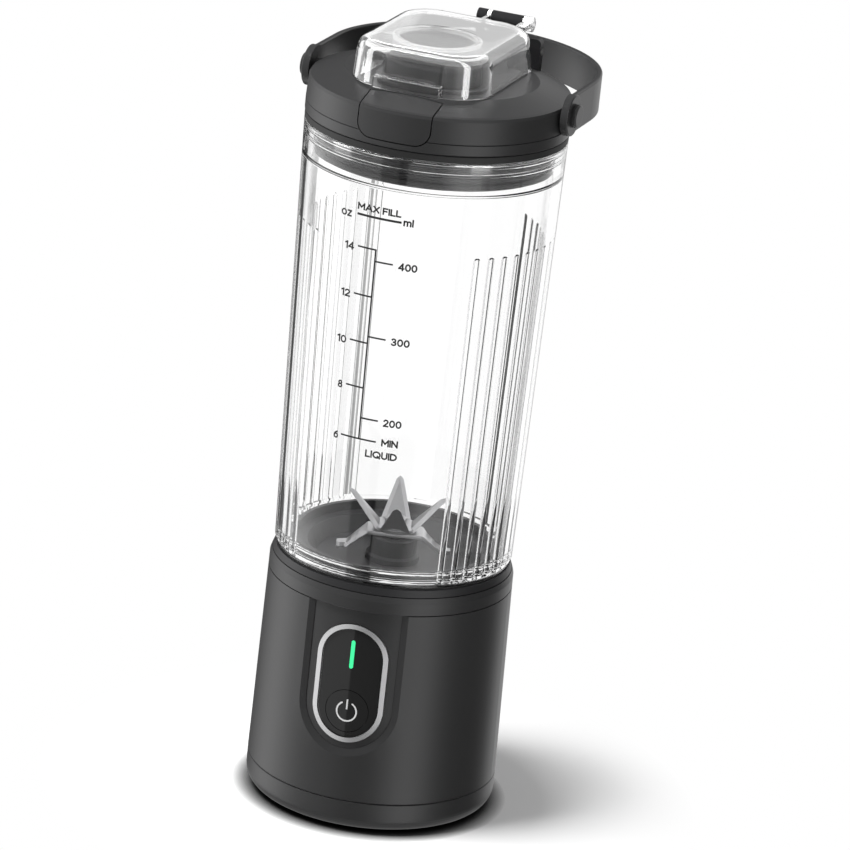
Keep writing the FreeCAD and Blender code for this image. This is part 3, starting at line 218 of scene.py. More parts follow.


def mixShader(tree, factor, first, second):
    node = addNode(tree, "ShaderNodeMixShader")
    link(tree, factor, node.inputs[0])
    link(tree, first.outputs[0], node.inputs[1])
    link(tree, second.outputs[0], node.inputs[2])
    return node


def makeFloor(c):
    half = c["size"] * mm
    mesh = bpy.data.meshes.new("floor")
    mesh.from_pydata([(-half, -half, 0), (half, -half, 0), (half, half, 0), (-half, half, 0)], [], [(0, 1, 2, 3)])
    floor = bpy.data.objects.new("floor", mesh)
    scene.collection.objects.link(floor)
    material = bpy.data.materials.new("paleFloor")
    material.use_nodes = True
    tree = material.node_tree
    tree.nodes.clear()
    calc = maths(tree)
    path = addNode(tree, "ShaderNodeLightPath")
    distance = addNode(tree, "ShaderNodeVectorMath", operation="LENGTH")
    link(tree, addNode(tree, "ShaderNodeTexCoord").outputs["Object"], distance.inputs[0])
    reach = distance.outputs["Value"]

    # painted contact shadow: ambient occlusion darkens the floor's colour and its faint glow next to the base
    paintedShadowAO = addNode(tree, "ShaderNodeAmbientOcclusion", Distance=c["paintedShadowReach"] * mm)
    paintedShadowAO.samples = c["samples"]
    paintedShadowFactor = calc("POWER", paintedShadowAO.outputs["AO"], c["depth"])
    matte = addNode(tree, "ShaderNodeBsdfDiffuse")
    link(tree, mixColour(tree, paintedShadowFactor, (0, 0, 0), (c["colour"],) * 3), matte.inputs["Color"])
    lift = addNode(tree, "ShaderNodeEmission")
    link(tree, calc("MULTIPLY", paintedShadowFactor, c["lift"]), lift.inputs["Strength"])
    lit = addNode(tree, "ShaderNodeAddShader")
    link(tree, matte.outputs[0], lit.inputs[0])
    link(tree, lift.outputs[0], lit.inputs[1])
    white = addNode(tree, "ShaderNodeEmission")
    seen = mixShader(tree, ramp(calc, reach, c["plain"] * mm, c["fade"] * mm), lit, white)

    clear = addNode(tree, "ShaderNodeBsdfTransparent")
    # painted highlight: near the base the floor glows for glossy rays only, which lights a rim on the base's bottom
    # edge
    rim = addNode(tree, "ShaderNodeEmission", Strength=c["rim"])
    near = calc("MULTIPLY", calc("LESS_THAN", reach, c["rimReach"] * mm), path.outputs["Is Glossy Ray"])
    beyond = mixShader(tree, near, clear, rim)
    bounced = calc("MAXIMUM", path.outputs["Is Transmission Ray"], path.outputs["Is Glossy Ray"])
    out = addNode(tree, "ShaderNodeOutputMaterial")
    link(tree, mixShader(tree, bounced, seen, beyond).outputs[0], out.inputs["Surface"])
    mesh.materials.append(material)


lampAim = (0, 0, 100.0)
lamps = {  # azimuth, elevation, distance, width, height, watts
    "keyBox": (-57, 60, 950, 340, 340, 13.5),
    "topBox": (120, 74, 950, 500, 500, 2.4),
}


def makeLamps():
    for name, (azimuth, elevation, distance, width, height, watts) in lamps.items():
        back = outwards(azimuth, elevation)
        data = bpy.data.lights.new(name, "AREA")
        data.shape = "RECTANGLE"
        data.size, data.size_y = width * mm, height * mm
        data.energy = watts
        lamp = bpy.data.objects.new(name, data)
        scene.collection.objects.link(lamp)
        lamp.location = Vector(lampAim) * mm + back * distance * mm
        lamp.rotation_mode = "QUATERNION"
        lamp.rotation_quaternion = (-back).to_track_quat("-Z", "Y")
        lamp.visible_camera = False
        lamp.visible_glossy = False
        lamp.visible_transmission = False


makeWorld(surroundSettings)
makeFloor(floorSettings)
makeLamps()
scene.view_settings.view_transform = "Standard"
print("studio lit")


# finishes
grainSettings = {"detail": 2.0, "coarse": 0.55, "contrast": 1.4,  # the fine grain, against the cloud
                 "cloudScale": 38.0, "cloudDetail": 3.0, "cloudCoarse": 0.6}
clearSettings = {"tint": (0.985, 0.985, 0.985), "size": 4.0, "tone": 0.01}


def mouldedGrainGroup(c):
    tree, gin, gout = shaderGroup("mouldedGrain", [
        ("Size", "NodeSocketFloat", 0.35), ("Tone", "NodeSocketFloat", 0.1),
        ("Colour", "NodeSocketColor", (0.04, 0.04, 0.04, 1)),
        ("Roughness", "NodeSocketFloat", 0.45), ("Spread", "NodeSocketFloat", 0.06),
    ], [("Colour", "NodeSocketColor"), ("Roughness", "NodeSocketFloat"), ("Height", "NodeSocketFloat")])
    calc = maths(tree)
    where = addNode(tree, "ShaderNodeTexCoord")
    grain = addNode(tree, "ShaderNodeTexNoise", Detail=c["detail"], Roughness=c["coarse"])
    link(tree, where.outputs["Object"], grain.inputs["Vector"])
    link(tree, calc("DIVIDE", 1 / mm, gin.outputs["Size"]), grain.inputs["Scale"])
    cloud = addNode(tree, "ShaderNodeTexNoise", Scale=c["cloudScale"], Detail=c["cloudDetail"],
                    Roughness=c["cloudCoarse"])
    link(tree, where.outputs["Object"], cloud.inputs["Vector"])
    mixed = calc("MULTIPLY", calc("SUBTRACT", grain.outputs[0], 0.5), c["contrast"])
    mixed = calc("ADD", mixed, calc("SUBTRACT", cloud.outputs[0], 0.5))
    tint = addNode(tree, "ShaderNodeVectorMath", operation="SCALE")
    link(tree, gin.outputs["Colour"], tint.inputs[0])
    link(tree, calc("MULTIPLY_ADD", mixed, gin.outputs["Tone"], 1.0), tint.inputs["Scale"])
    link(tree, tint.outputs[0], gout.inputs["Colour"])
    rough = calc("MULTIPLY_ADD", mixed, gin.outputs["Spread"], gin.outputs["Roughness"])
    link(tree, rough, gout.inputs["Roughness"])
    link(tree, grain.outputs[0], gout.inputs["Height"])
    return tree


mouldedGrain = mouldedGrainGroup(grainSettings)


def principled(name, **sockets):
    material = bpy.data.materials.new(name)
    material.use_nodes = True
    tree = material.node_tree
    shader = next(n for n in tree.nodes if n.type == "BSDF_PRINCIPLED")
    for key, value in sockets.items():
        shader.inputs[key.replace("_", " ")].default_value = value
    return material, tree, shader


def grainPlastic(name, colour, roughness, size=0.35, tone=0.05, spread=0.03, bump=0.004, **sockets):
    material, tree, shader = principled(name, **sockets)
    grain = useGroup(tree, mouldedGrain, Size=size, Tone=tone, Colour=(*colour, 1), Roughness=roughness, Spread=spread)
    link(tree, grain.outputs["Colour"], shader.inputs["Base Color"])
    link(tree, grain.outputs["Roughness"], shader.inputs["Roughness"])
    lump = addNode(tree, "ShaderNodeBump", Distance=bump * mm)
    link(tree, grain.outputs["Height"], lump.inputs["Height"])
    link(tree, lump.outputs[0], shader.inputs["Normal"])
    return material


def clearMaterial(name, ior, roughness=0.0, clear=1.0):
    material, tree, shader = principled(name, IOR=ior, Transmission_Weight=clear, Roughness=roughness)
    c = clearSettings
    grain = useGroup(tree, mouldedGrain, Size=c["size"], Tone=c["tone"], Colour=(*c["tint"], 1))
    link(tree, grain.outputs["Colour"], shader.inputs["Base Color"])
    out = next(n for n in tree.nodes if n.type == "OUTPUT_MATERIAL")
    path = addNode(tree, "ShaderNodeLightPath")
    through = addNode(tree, "ShaderNodeBsdfTransparent")  # so that clear walls cast no dark shadow
    pick = mixShader(tree, path.outputs["Is Shadow Ray"], shader, through)
    link(tree, pick.outputs[0], out.inputs["Surface"])
    return material


# painted sheen: a strong clear coat makes the cap's plate shine more than its round middle, though both are the same
# clear plastic
plateSheenSizes = {"x": -0.64, "y": -7.47, "z": 249.05, "radius": 12.9, "soft": 0.4, "ior": 3.0}


def capMaterial(c):
    material = clearMaterial("clearCap", 1.5)
    tree = material.node_tree
    calc = maths(tree)
    shader = next(n for n in tree.nodes if n.type == "BSDF_PRINCIPLED")
    centred = addNode(tree, "ShaderNodeMapping")
    centred.inputs["Location"].default_value = (-c["x"] * mm, -c["y"] * mm, -c["z"] * mm)
    link(tree, addNode(tree, "ShaderNodeTexCoord").outputs["Object"], centred.inputs["Vector"])
    split = addNode(tree, "ShaderNodeSeparateXYZ")
    link(tree, centred.outputs[0], split.inputs[0])
    x, y, z = split.outputs
    reach = calc("POWER", calc("ADD", calc("POWER", x, 2.0), calc("POWER", y, 2.0)), 0.5)
    sheenMask = ramp(calc, reach, c["radius"] * mm, c["soft"] * mm)
    # painted sheen: the strong coat covers only the top of the plate outside the round middle
    link(tree, calc("MULTIPLY", sheenMask, calc("GREATER_THAN", z, 0.0)), shader.inputs["Coat Weight"])
    shader.inputs["Coat IOR"].default_value = c["ior"]
    shader.inputs["Coat Roughness"].default_value = 0.0
    return material


finishes = {
    "clear_cap": capMaterial(plateSheenSizes),
    "charcoal_plastic": grainPlastic("charcoalPlastic", (0.025, 0.025, 0.0255), 0.4),
    "soft_black_plastic": grainPlastic("softBlackPlastic", (0.014, 0.014, 0.015), 0.46, tone=0.03, bump=0.0),
    "inner_plastic": grainPlastic("innerPlastic", (0.5, 0.5, 0.48), 0.5),
    "gloss_black": grainPlastic("glossBlack", (0.018, 0.018, 0.018), 0.03, spread=0.0, bump=0.0),
    "chrome_trim": grainPlastic("chromeTrim", (0.97, 0.97, 0.98), 0.36, tone=0.03, bump=0.0, Metallic=1.0),
    "clear_plastic": clearMaterial("clearPlastic", 1.5),
    "clear_silicone": clearMaterial("clearSilicone", 1.41, 0.25, clear=0.88),
    "black_rubber": grainPlastic("blackRubber", (0.012, 0.012, 0.012), 0.6),
    "foam": grainPlastic("foam", (0.03, 0.03, 0.03), 0.9, size=0.8, bump=0.2),
    "blade_steel": grainPlastic("bladeSteel", (0.5, 0.5, 0.51), 0.33, bump=0.0, Metallic=1.0),
    "plain_steel": grainPlastic("plainSteel", (0.5, 0.5, 0.5), 0.3, Metallic=1.0),
    "motor_steel": grainPlastic("motorSteel", (0.45, 0.45, 0.46), 0.38, Metallic=1.0),
    "magnet": grainPlastic("magnet", (0.06, 0.06, 0.065), 0.5),
    "copper_winding": grainPlastic("copperWinding", (0.6, 0.22, 0.09), 0.32, Metallic=1.0),
    "circuit_board": grainPlastic("circuitBoard", (0.01, 0.11, 0.035), 0.4),
    "cell_wrap": grainPlastic("cellWrap", (0.02, 0.12, 0.3), 0.35),
    "green_light": grainPlastic("greenLight", (0.05, 0.9, 0.35), 0.3, Emission_Color=(0.04, 0.9, 0.32, 1),
                                Emission_Strength=0.35),
    "black_ink": grainPlastic("blackInk", (0.012, 0.012, 0.012), 0.5, bump=0.0),
    "white_ink": grainPlastic("whiteInk", (0.72, 0.72, 0.72), 0.5, bump=0.0),
}
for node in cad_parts.values():
    for holder in node.material_slots:
        holder.material = finishes[holder.material.name.split(".")[0]]
print("finishes made")


# mesh helpers: millimetres in, a piece at the origin out
def meshPiece(name, verts, faces):
    mesh = bpy.data.meshes.new(name)
    mesh.from_pydata([Vector(v) * mm for v in verts], [], faces)
    piece = bpy.data.objects.new(name, mesh)
    scene.collection.objects.link(piece)
    return piece


def turnAbout(piece, degrees):
    piece.data.transform(Matrix.Rotation(math.radians(degrees), 4, "Z"))


def weld(piece, gap=0.002):
    work = bmesh.new()
    work.from_mesh(piece.data)
    bmesh.ops.remove_doubles(work, verts=work.verts, dist=gap * mm)
    bmesh.ops.dissolve_degenerate(work, edges=work.edges, dist=gap * mm / 4)
    bmesh.ops.recalc_face_normals(work, faces=work.faces)
    work.to_mesh(piece.data)
    work.free()
    return piece


def bake(piece):
    graph = bpy.context.evaluated_depsgraph_get()
    mesh = bpy.data.meshes.new_from_object(piece.evaluated_get(graph))
    piece.modifiers.clear()
    piece.data = mesh
    return piece


def smooth(piece, angle):
    piece.data.shade_smooth()
    piece.data.set_sharp_from_angle(angle=math.radians(angle))
    return piece


def place(piece, body, finish, *nodes, slot=None):
    piece.data.materials.clear()
    piece.data.materials.append(finishes[finish])
    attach(piece, body)
    if nodes:
        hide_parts(*nodes)
    if slot or nodes:
        slot or finish
    return piece


def revolve(name, loop, angles):  # a closed loop of radius and height, one copy at each angle
    count, rows = len(angles), len(loop)
    verts = [(r * math.sin(math.radians(a)), -r * math.cos(math.radians(a)), z) for a in angles for r, z in loop]
    faces = [(i * rows + j, (i + 1) % count * rows + j, (i + 1) % count * rows + (j + 1) % rows, i * rows + (j + 1) % rows)
             for i in range(count) for j in range(rows)]
    return meshPiece(name, verts, faces)


def even(count):
    return [360.0 * i / count for i in range(count)]


def steps(low, high, size):  # the high end is left out
    count = max(1, round((high - low) / size))
    return [low + (high - low) * i / count for i in range(count)]


def bend(r, z, radius, angles):  # part of a circle in a loop, 0 points outwards and 90 up
    return [(r + radius * math.cos(math.radians(a)), z + radius * math.sin(math.radians(a))) for a in angles]


def rounded(corners, parts=6):  # outline through corners of x, y and radius
    path = []
    for i, (x, y, r) in enumerate(corners):
        here = Vector((x, y))
        before = (Vector(corners[i - 1][:2]) - here).normalized()
        after = (Vector(corners[(i + 1) % len(corners)][:2]) - here).normalized()
        half = before.angle(after) / 2
        reach = r / math.tan(half)
        centre = here + (before + after).normalized() * (r / math.sin(half))
        start, end = here + before * reach - centre, here + after * reach - centre
        sweep = start.angle_signed(end)
        path += [centre + Matrix.Rotation(-sweep * k / parts, 2) @ start for k in range(parts + 1)]
    return path


def boolean(piece, tool, operation="DIFFERENCE"):
    step = piece.modifiers.new("cut", "BOOLEAN")
    step.operation = operation
    step.solver = "EXACT"
    step.object = tool
    bake(piece)
    bpy.data.objects.remove(tool)


# the jar: ridges stand for the threads and a seat, (low, height, proud, edge)
jarSizes = {
    "bottom": 82.0, "top": 219.2, "footRadius": 36.75, "bottomRadius": 37.29, "topRadius": 40.5, "wall": 2.9,
    "footRound": 0.3, "rimRound": 0.5, "lipRound": 0.4,
    "footSteps": [(0.0, 82.6), (0.1, 82.85), (0.45743, 83.4)],  # beyond the foot's radius, and height
    "wallLevels": (83.75, 84.2, 95.0, 120.0, 150.0, 180.0, 205.0, 218.5),
    "ribs": 14, "window": 42.0, "ribHalfAngle": 1.66, "ribRadius": 1.1, "ribProud": 0.7, "ribBottom": 84.6,
    "ribTop": 188.0,
    "ridges": [(83.2, 1.3, 0.6, 0.4), (85.6, 1.3, 0.6, 0.4), (207.8, 1.2, 0.35, 0.5), (214.2, 1.3, 0.6, 0.4),
               (216.8, 1.3, 0.6, 0.4)],
    "fineBands": [(82.0, 88.0, 0.2), (88.0, 186.0, 16.0), (186.0, 189.4, 0.17), (207.6, 209.2, 0.2),
                  (213.9, 218.7, 0.2)],  # from, to, step of the inner wall's levels
    "otherLevels": [190.2, 200.0, 207.4, 209.2, 211.0, 213.0, 218.7],
    "dashes": 58, "dashProud": 0.2, "dashBand": (82.6, 4.2, 1.0, 0.8), "dashRadius": 34.0,  # ripple in the foot
    "beat": 31, "beatShare": 0.35,  # makes the ripple uneven
}


def jarRadius(z):
    c = jarSizes
    return c["bottomRadius"] + (c["topRadius"] - c["bottomRadius"]) * (z - c["bottom"]) / (c["top"] - c["bottom"])


def jarAngles(c):
    pitch = (180 - 2 * c["window"]) / (c["ribs"] - 1)
    columns = 8  # on each half of a rib
    front, rear = 28, 26  # columns across the plain windows
    right = []
    for k in range(c["ribs"]):
        middle = c["window"] + pitch * k
        right += [middle + c["ribHalfAngle"] * math.sin(math.radians(90 * step / columns))
                  for step in range(-columns, columns + 1)]
        if k < c["ribs"] - 1:
            right += [middle + pitch * share for share in (0.36, 0.5, 0.64)]
    span = 180 - right[-1]
    return ([right[0] * (2 * i / front - 1) for i in range(1, front)] + right
            + [right[-1] + 2 * span * i / rear for i in range(1, rear)] + [360 - a for a in reversed(right)])


def ridge(z, low, height, proud, edge):
    inside = min(z - low, low + height - z)
    return proud * max(0.0, min(1.0, inside / edge))


def jarLoop(c):
    foot, low, high = c["footRadius"], c["bottom"], c["top"]
    outer = bend(foot - c["footRound"], low + c["footRound"], c["footRound"], (-90, -60, -30, 0))
    outer += [(foot + out, z) for out, z in c["footSteps"]] + [(jarRadius(z), z) for z in c["wallLevels"]]
    outer += bend(c["topRadius"] - c["rimRound"], high - c["rimRound"], c["rimRound"], (20, 45, 70, 90))
    lip = bend(c["topRadius"] - c["wall"] + c["lipRound"], high - c["lipRound"], c["lipRound"], (90, 120, 150))
    levels = sorted(sum((steps(*band) for band in c["fineBands"]), c["otherLevels"]))
    inner = [(jarRadius(z) - c["wall"] - sum(ridge(z, *sizes) for sizes in c["ridges"]), z) for z in reversed(levels)]
    return outer + lip, inner


def makeJar(c):
    outer, inner = jarLoop(c)
    angles = jarAngles(c)
    piece = revolve("jar_wall", outer + inner, angles)
    side = piece.data.attributes.new("innerWall", "FLOAT", "POINT")
    inside = ([0.0] * len(outer) + [1.0] * len(inner)) * len(angles)
    side.data.foreach_set("value", inside)
    for vertex, within in zip(piece.data.vertices, inside):
        band = ridge(vertex.co.z / mm, *c["dashBand"])
        if within and band > 0:
            turn = math.atan2(vertex.co.x, -vertex.co.y)
            wave = max(0.0, math.sin(c["dashes"] * turn) + c["beatShare"] * math.sin(c["beat"] * turn))
            inward = 1 - c["dashProud"] * min(1.0, wave) * band / c["dashRadius"]
            vertex.co.x *= inward
            vertex.co.y *= inward
    runTree(piece, ribTree(), **{"Rib Count": c["ribs"], "Window": c["window"], "Half Angle": c["ribHalfAngle"],
                                 "Rib Radius": c["ribRadius"] * mm, "Proud": c["ribProud"] * mm,
                                 "Bottom": c["ribBottom"] * mm, "Top": c["ribTop"] * mm})
    turnAbout(piece, jarTurn)
    weld(piece, 0.001)
    return place(smooth(piece, 38), "jar_body", "clear_plastic", "jar")


def geometryTree(name, inputs):
    tree = bpy.data.node_groups.new(name, "GeometryNodeTree")
    tree.interface.new_socket("Geometry", in_out="INPUT", socket_type="NodeSocketGeometry")
    for label, kind, value in inputs:
        tree.interface.new_socket(label, in_out="INPUT", socket_type=kind).default_value = value
    tree.interface.new_socket("Geometry", in_out="OUTPUT", socket_type="NodeSocketGeometry")
    return tree, tree.nodes.new("NodeGroupInput"), tree.nodes.new("NodeGroupOutput")


def endTree(tree, geometry, out, finish):
    real = tree.nodes.new("GeometryNodeRealizeInstances")
    paint = tree.nodes.new("GeometryNodeSetMaterial")
    paint.inputs["Material"].default_value = finishes[finish]
    link(tree, geometry, real.inputs[0])
    link(tree, real.outputs[0], paint.inputs["Geometry"])
    link(tree, paint.outputs[0], out.inputs[0])


def runTree(piece, tree, **values):
    step = piece.modifiers.new("nodes", "NODES")
    step.node_group = tree
    for socket in tree.interface.items_tree:
        if socket.in_out == "INPUT" and socket.name in values:
            step[socket.identifier] = values[socket.name]
    return bake(piece)


def ribTree():  # pushes the inner wall inwards to round ribs on both sides
    tree, gin, gout = geometryTree("ribbedWall", [
        ("Rib Count", "NodeSocketInt", 14), ("Window", "NodeSocketFloat", 42.0), ("Half Angle", "NodeSocketFloat", 1.66),
        ("Rib Radius", "NodeSocketFloat", 0.0011), ("Proud", "NodeSocketFloat", 0.0007),
        ("Bottom", "NodeSocketFloat", 0.0846), ("Top", "NodeSocketFloat", 0.188)])
    calc = maths(tree)
    take = {socket.name: socket for socket in gin.outputs}
    split = tree.nodes.new("ShaderNodeSeparateXYZ")
    link(tree, tree.nodes.new("GeometryNodeInputPosition").outputs[0], split.inputs[0])
    x, y, z = split.outputs
    angle = calc("ABSOLUTE", calc("MULTIPLY", calc("ARCTAN2", x, calc("MULTIPLY", y, -1.0)), 180 / math.pi))
    last = calc("SUBTRACT", take["Rib Count"], 1.0)
    pitch = calc("DIVIDE", calc("MULTIPLY_ADD", take["Window"], -2.0, 180.0), last)
    past = calc("SUBTRACT", angle, take["Window"])
    index = calc("MINIMUM", calc("MAXIMUM", calc("ROUND", calc("DIVIDE", past, pitch)), 0.0), last)
    across = calc("DIVIDE", calc("SUBTRACT", past, calc("MULTIPLY", index, pitch)), take["Half Angle"])
    sunk = calc("SUBTRACT", take["Rib Radius"], take["Proud"])
    full = calc("SQRT", calc("SUBTRACT", calc("POWER", take["Rib Radius"], 2.0), calc("POWER", sunk, 2.0)))
    across = calc("MULTIPLY", across, full)
    past = calc("MAXIMUM", calc("MAXIMUM", calc("SUBTRACT", z, take["Top"]), calc("SUBTRACT", take["Bottom"], z)), 0.0)
    squares = calc("ADD", calc("POWER", calc("ABSOLUTE", across), 2.0), calc("POWER", past, 2.0))
    left = calc("MAXIMUM", calc("SUBTRACT", calc("POWER", take["Rib Radius"], 2.0), squares), 0.0)
    rise = calc("MAXIMUM", calc("SUBTRACT", calc("SQRT", left), sunk), 0.0)
    mask = tree.nodes.new("GeometryNodeInputNamedAttribute")
    mask.data_type = "FLOAT"
    mask.inputs["Name"].default_value = "innerWall"
    rise = calc("MULTIPLY", rise, mask.outputs["Attribute"])
    flat = tree.nodes.new("ShaderNodeCombineXYZ")
    link(tree, x, flat.inputs[0])
    link(tree, y, flat.inputs[1])
    unit = addNode(tree, "ShaderNodeVectorMath", operation="NORMALIZE")
    link(tree, flat.outputs[0], unit.inputs[0])
    inward = addNode(tree, "ShaderNodeVectorMath", operation="SCALE")
    link(tree, unit.outputs[0], inward.inputs[0])
    link(tree, calc("MULTIPLY", rise, -1.0), inward.inputs["Scale"])
    move = tree.nodes.new("GeometryNodeSetPosition")
    link(tree, gin.outputs[0], move.inputs["Geometry"])
    link(tree, inward.outputs[0], move.inputs["Offset"])
    endTree(tree, move.outputs[0], gout, "clear_plastic")
    return tree


makeJar(jarSizes)
print("jar made")


def arc(x, y, rx, ry, start, end, count=14):
    turn = [math.radians(start + (end - start) * i / count) for i in range(count + 1)]
    return [(x + rx * math.cos(a), y + ry * math.sin(a)) for a in turn]


# width and strokes of every character, capitals one unit high
glyphs = {
    "A": (0.86, [[(0, 0), (0.43, 1)], [(0.43, 1), (0.86, 0)], [(0.17, 0.32), (0.69, 0.32)]]),
    "D": (0.76, [[(0, 0), (0, 1)], [(0, 1)] + arc(0.26, 0.5, 0.5, 0.5, 90, -90) + [(0, 0)]]),
    "F": (0.54, [[(0, 0), (0, 1)], [(0, 1), (0.54, 1)], [(0, 0.5), (0.46, 0.5)]]),
    "I": (0.0, [[(0, 0), (0, 1)]]),
    "L": (0.5, [[(0, 1), (0, 0)], [(0, 0), (0.5, 0)]]),
    "M": (0.88, [[(0, 0), (0, 1)], [(0, 1), (0.44, 0.34)], [(0.44, 0.34), (0.88, 1)], [(0.88, 1), (0.88, 0)]]),
    "N": (0.72, [[(0, 0), (0, 1)], [(0, 1), (0.72, 0)], [(0.72, 0), (0.72, 1)]]),
    "Q": (0.96, [arc(0.48, 0.5, 0.48, 0.5, 0, 360, 28), [(0.62, 0.26), (0.92, -0.04)]]),
    "U": (0.66, [[(0, 1)] + arc(0.33, 0.33, 0.33, 0.33, 180, 360) + [(0.66, 1)]]),
    "X": (0.72, [[(0, 0), (0.72, 1)], [(0, 1), (0.72, 0)]]),
    "l": (0.0, [[(0, 0), (0, 1)]]),
    "m": (0.84, [[(0, 0), (0, 0.68)], [(0, 0.4)] + arc(0.21, 0.44, 0.21, 0.24, 180, 0) + [(0.42, 0)],
                 [(0.42, 0.4)] + arc(0.63, 0.44, 0.21, 0.24, 180, 0) + [(0.84, 0)]]),
    "o": (0.64, [arc(0.32, 0.33, 0.32, 0.34, 0, 360, 24)]),
    "z": (0.46, [[(0, 0.66), (0.46, 0.66)], [(0.46, 0.66), (0, 0)], [(0, 0), (0.46, 0)]]),
    "0": (0.6, [arc(0.3, 0.5, 0.3, 0.5, 0, 360, 24)]),
    "1": (0.24, [[(0.24, 0), (0.24, 1)], [(0.24, 1), (0, 0.84)]]),
    "2": (0.54, [arc(0.26, 0.72, 0.26, 0.28, 160, -30) + [(0, 0)], [(0, 0), (0.54, 0)]]),
    "3": (0.54, [arc(0.25, 0.75, 0.23, 0.25, 150, -90), arc(0.25, 0.25, 0.27, 0.25, 90, -150)]),
    "4": (0.64, [[(0.48, 0), (0.48, 1)], [(0.48, 1), (0, 0.26)], [(0, 0.26), (0.64, 0.26)]]),
    "6": (0.58, [arc(0.29, 0.32, 0.29, 0.32, 0, 360, 24), arc(0.72, 0.34, 0.72, 0.7, 180, 112, 8)]),
    "8": (0.56, [arc(0.28, 0.76, 0.23, 0.24, 0, 360, 22), arc(0.28, 0.26, 0.28, 0.26, 0, 360, 24)]),
    " ": (0.1, []),
}


def lettering(text, left, base, width, height, stroke=0.5, gap=0.27):
    half = stroke / 2
    total = sum(glyphs[letter][0] for letter in text) + gap * (len(text) - 1)
    scale = (width - stroke) / total
    rise = height - stroke
    solids = []
    at = left + half
    for letter in text:
        for path in glyphs[letter][1]:
            points = [Vector((at + x * scale, base + half + y * rise)) for x, y in path]
            closed = (points[0] - points[-1]).length < 1e-6
            if closed:
                points.pop()
            else:
                points[0] += (points[0] - points[1]).normalized() * half
                points[-1] += (points[-1] - points[-2]).normalized() * half
            solids.append(strokeSolid(points, stroke, closed))
        at += (glyphs[letter][0] + gap) * scale
    return solids


def strokeSolid(points, width, closed=False):  # a flat bar along the points, its third number is 1 or -1
    count = len(points)
    verts = []
    for i, point in enumerate(points):
        here = Vector(point)
        before = Vector(points[i - 1]) if closed or i else here
        after = Vector(points[(i + 1) % count]) if closed or i < count - 1 else here
        along = ((here - before).normalized() + (after - here).normalized()).normalized()
        side = Vector((-along.y, along.x)) * width / 2
        for level in (1, -1):
            verts += [(*(here + side), level), (*(here - side), level)]
    faces = []
    for i in range(count if closed else count - 1):
        a, b = 4 * i, 4 * ((i + 1) % count)
        faces += [(a, a + 1, b + 1, b), (a + 2, b + 2, b + 3, a + 3), (a, b, b + 2, a + 2), (a + 1, a + 3, b + 3, b + 1)]
    if not closed:
        last = 4 * (count - 1)
        faces += [(0, 2, 3, 1), (last, last + 1, last + 3, last + 2)]
    return verts, faces


def printPiece(name, solids, onto):
    verts, faces = [], []
    for some, corners in solids:
        faces += [tuple(k + len(verts) for k in paintedShadowAO) for paintedShadowAO in corners]
        verts += [onto(*v) for v in some]
    return weld(meshPiece(name, verts, faces), 0.0005)


scaleSizes = {  # across in degrees, heights in millimetres
    "line": 0.52, "film": 0.03, "radius": 39.5, "axis": -7.0, "axisTop": 189.5, "height": 2.45,
    "ounces": [("14", 189.3), ("12", 174.3), ("10", 159.5), ("8", 145.1), ("6", 128.7)],
    "ounceLeft": -17.7, "tickLeft": -15.8, "digit": 1.7, "ounceDrop": 1.75,
    "millilitres": [("400", 185.7), ("300", 161.7), ("200", 135.5)],
    "tickRight": 1.3, "labelRight": 3.8, "labelWidth": 5.8, "labelDrop": 1.5,
    "lowest": (-16.2, 1.3, 128.7), "fill": (-17.4, 3.4, 199.3), "fillLine": 0.7,
    "words": [("MAX FILL", -17.5, 200.75, 14.1, 2.2), ("oz", -26.0, 197.6, 3.9, 2.9), ("ml", 4.2, 198.3, 3.1, 2.4),
              ("MIN", 3.8, 127.65, 5.3, 2.3), ("LIQUID", -3.3, 123.4, 10.3, 2.35)],
}


def makeScale(c):
    def onto(u, z, w):  # u is measured along the wall
        angle = u / c["radius"]
        r = jarRadius(z) + c["film"] * (w + 0.2)
        return (r * math.sin(angle), -r * math.cos(angle), z)

    def at(degrees):
        return math.radians(degrees) * c["radius"]

    def line(a, b, z, width=c["line"], count=12):
        return strokeSolid([(at(a) + (at(b) - at(a)) * i / count, z) for i in range(count + 1)], width)

    bottom = c["lowest"][2]
    solids = [strokeSolid([(at(c["axis"]), bottom + (c["axisTop"] - bottom) * i / 8) for i in range(9)], c["line"])]
    for label, z in c["ounces"]:
        if z != bottom:
            solids.append(line(c["tickLeft"], c["axis"], z))
        width = c["digit"] * len(label)
        solids += lettering(label, at(c["ounceLeft"]) - width, z - c["ounceDrop"], width, c["height"])
    for label, z in c["millilitres"]:
        solids.append(line(c["axis"], c["tickRight"], z))
        solids += lettering(label, at(c["labelRight"]), z - c["labelDrop"], c["labelWidth"], c["height"])
    solids += [line(*c["lowest"]), line(*c["fill"], c["fillLine"])]
    for text, left, base, width, height in c["words"]:
        solids += lettering(text, at(left), base, width, height)
    return place(printPiece("measuring_scale", solids, onto), "jar_body", "black_ink")


signSizes = {"height": 39.65, "radius": 3.15, "stroke": 0.5, "gap": 28.0, "barLow": 0.7, "barHigh": 4.0, "film": 0.03,
             "inset": 1.2, "housing": ((10.7, 39.5), (73.4, 38.45))}  # the housing's radius at two heights


def makeSign(c):
    (low, lowRadius), (high, highRadius) = c["housing"]

    def onto(x, z, w):
        r = lowRadius + (highRadius - lowRadius) * (z - low) / (high - low) - c["inset"] + c["film"] * (w + 0.2)
        return (x, -math.sqrt(r * r - x * x), z)

    turn = [math.radians(c["gap"] + (360 - 2 * c["gap"]) * i / 48) for i in range(49)]
    ring = [(c["radius"] * math.sin(a), c["height"] + c["radius"] * math.cos(a)) for a in turn]
    bar = [(0, c["height"] + c["barLow"] + (c["barHigh"] - c["barLow"]) * i / 4) for i in range(5)]
    piece = printPiece("power_sign", [strokeSolid(ring, c["stroke"]), strokeSolid(bar, c["stroke"])], onto)
    return place(piece, "button", "white_ink")


makeScale(scaleSizes)
makeSign(signSizes)
print("prints made")


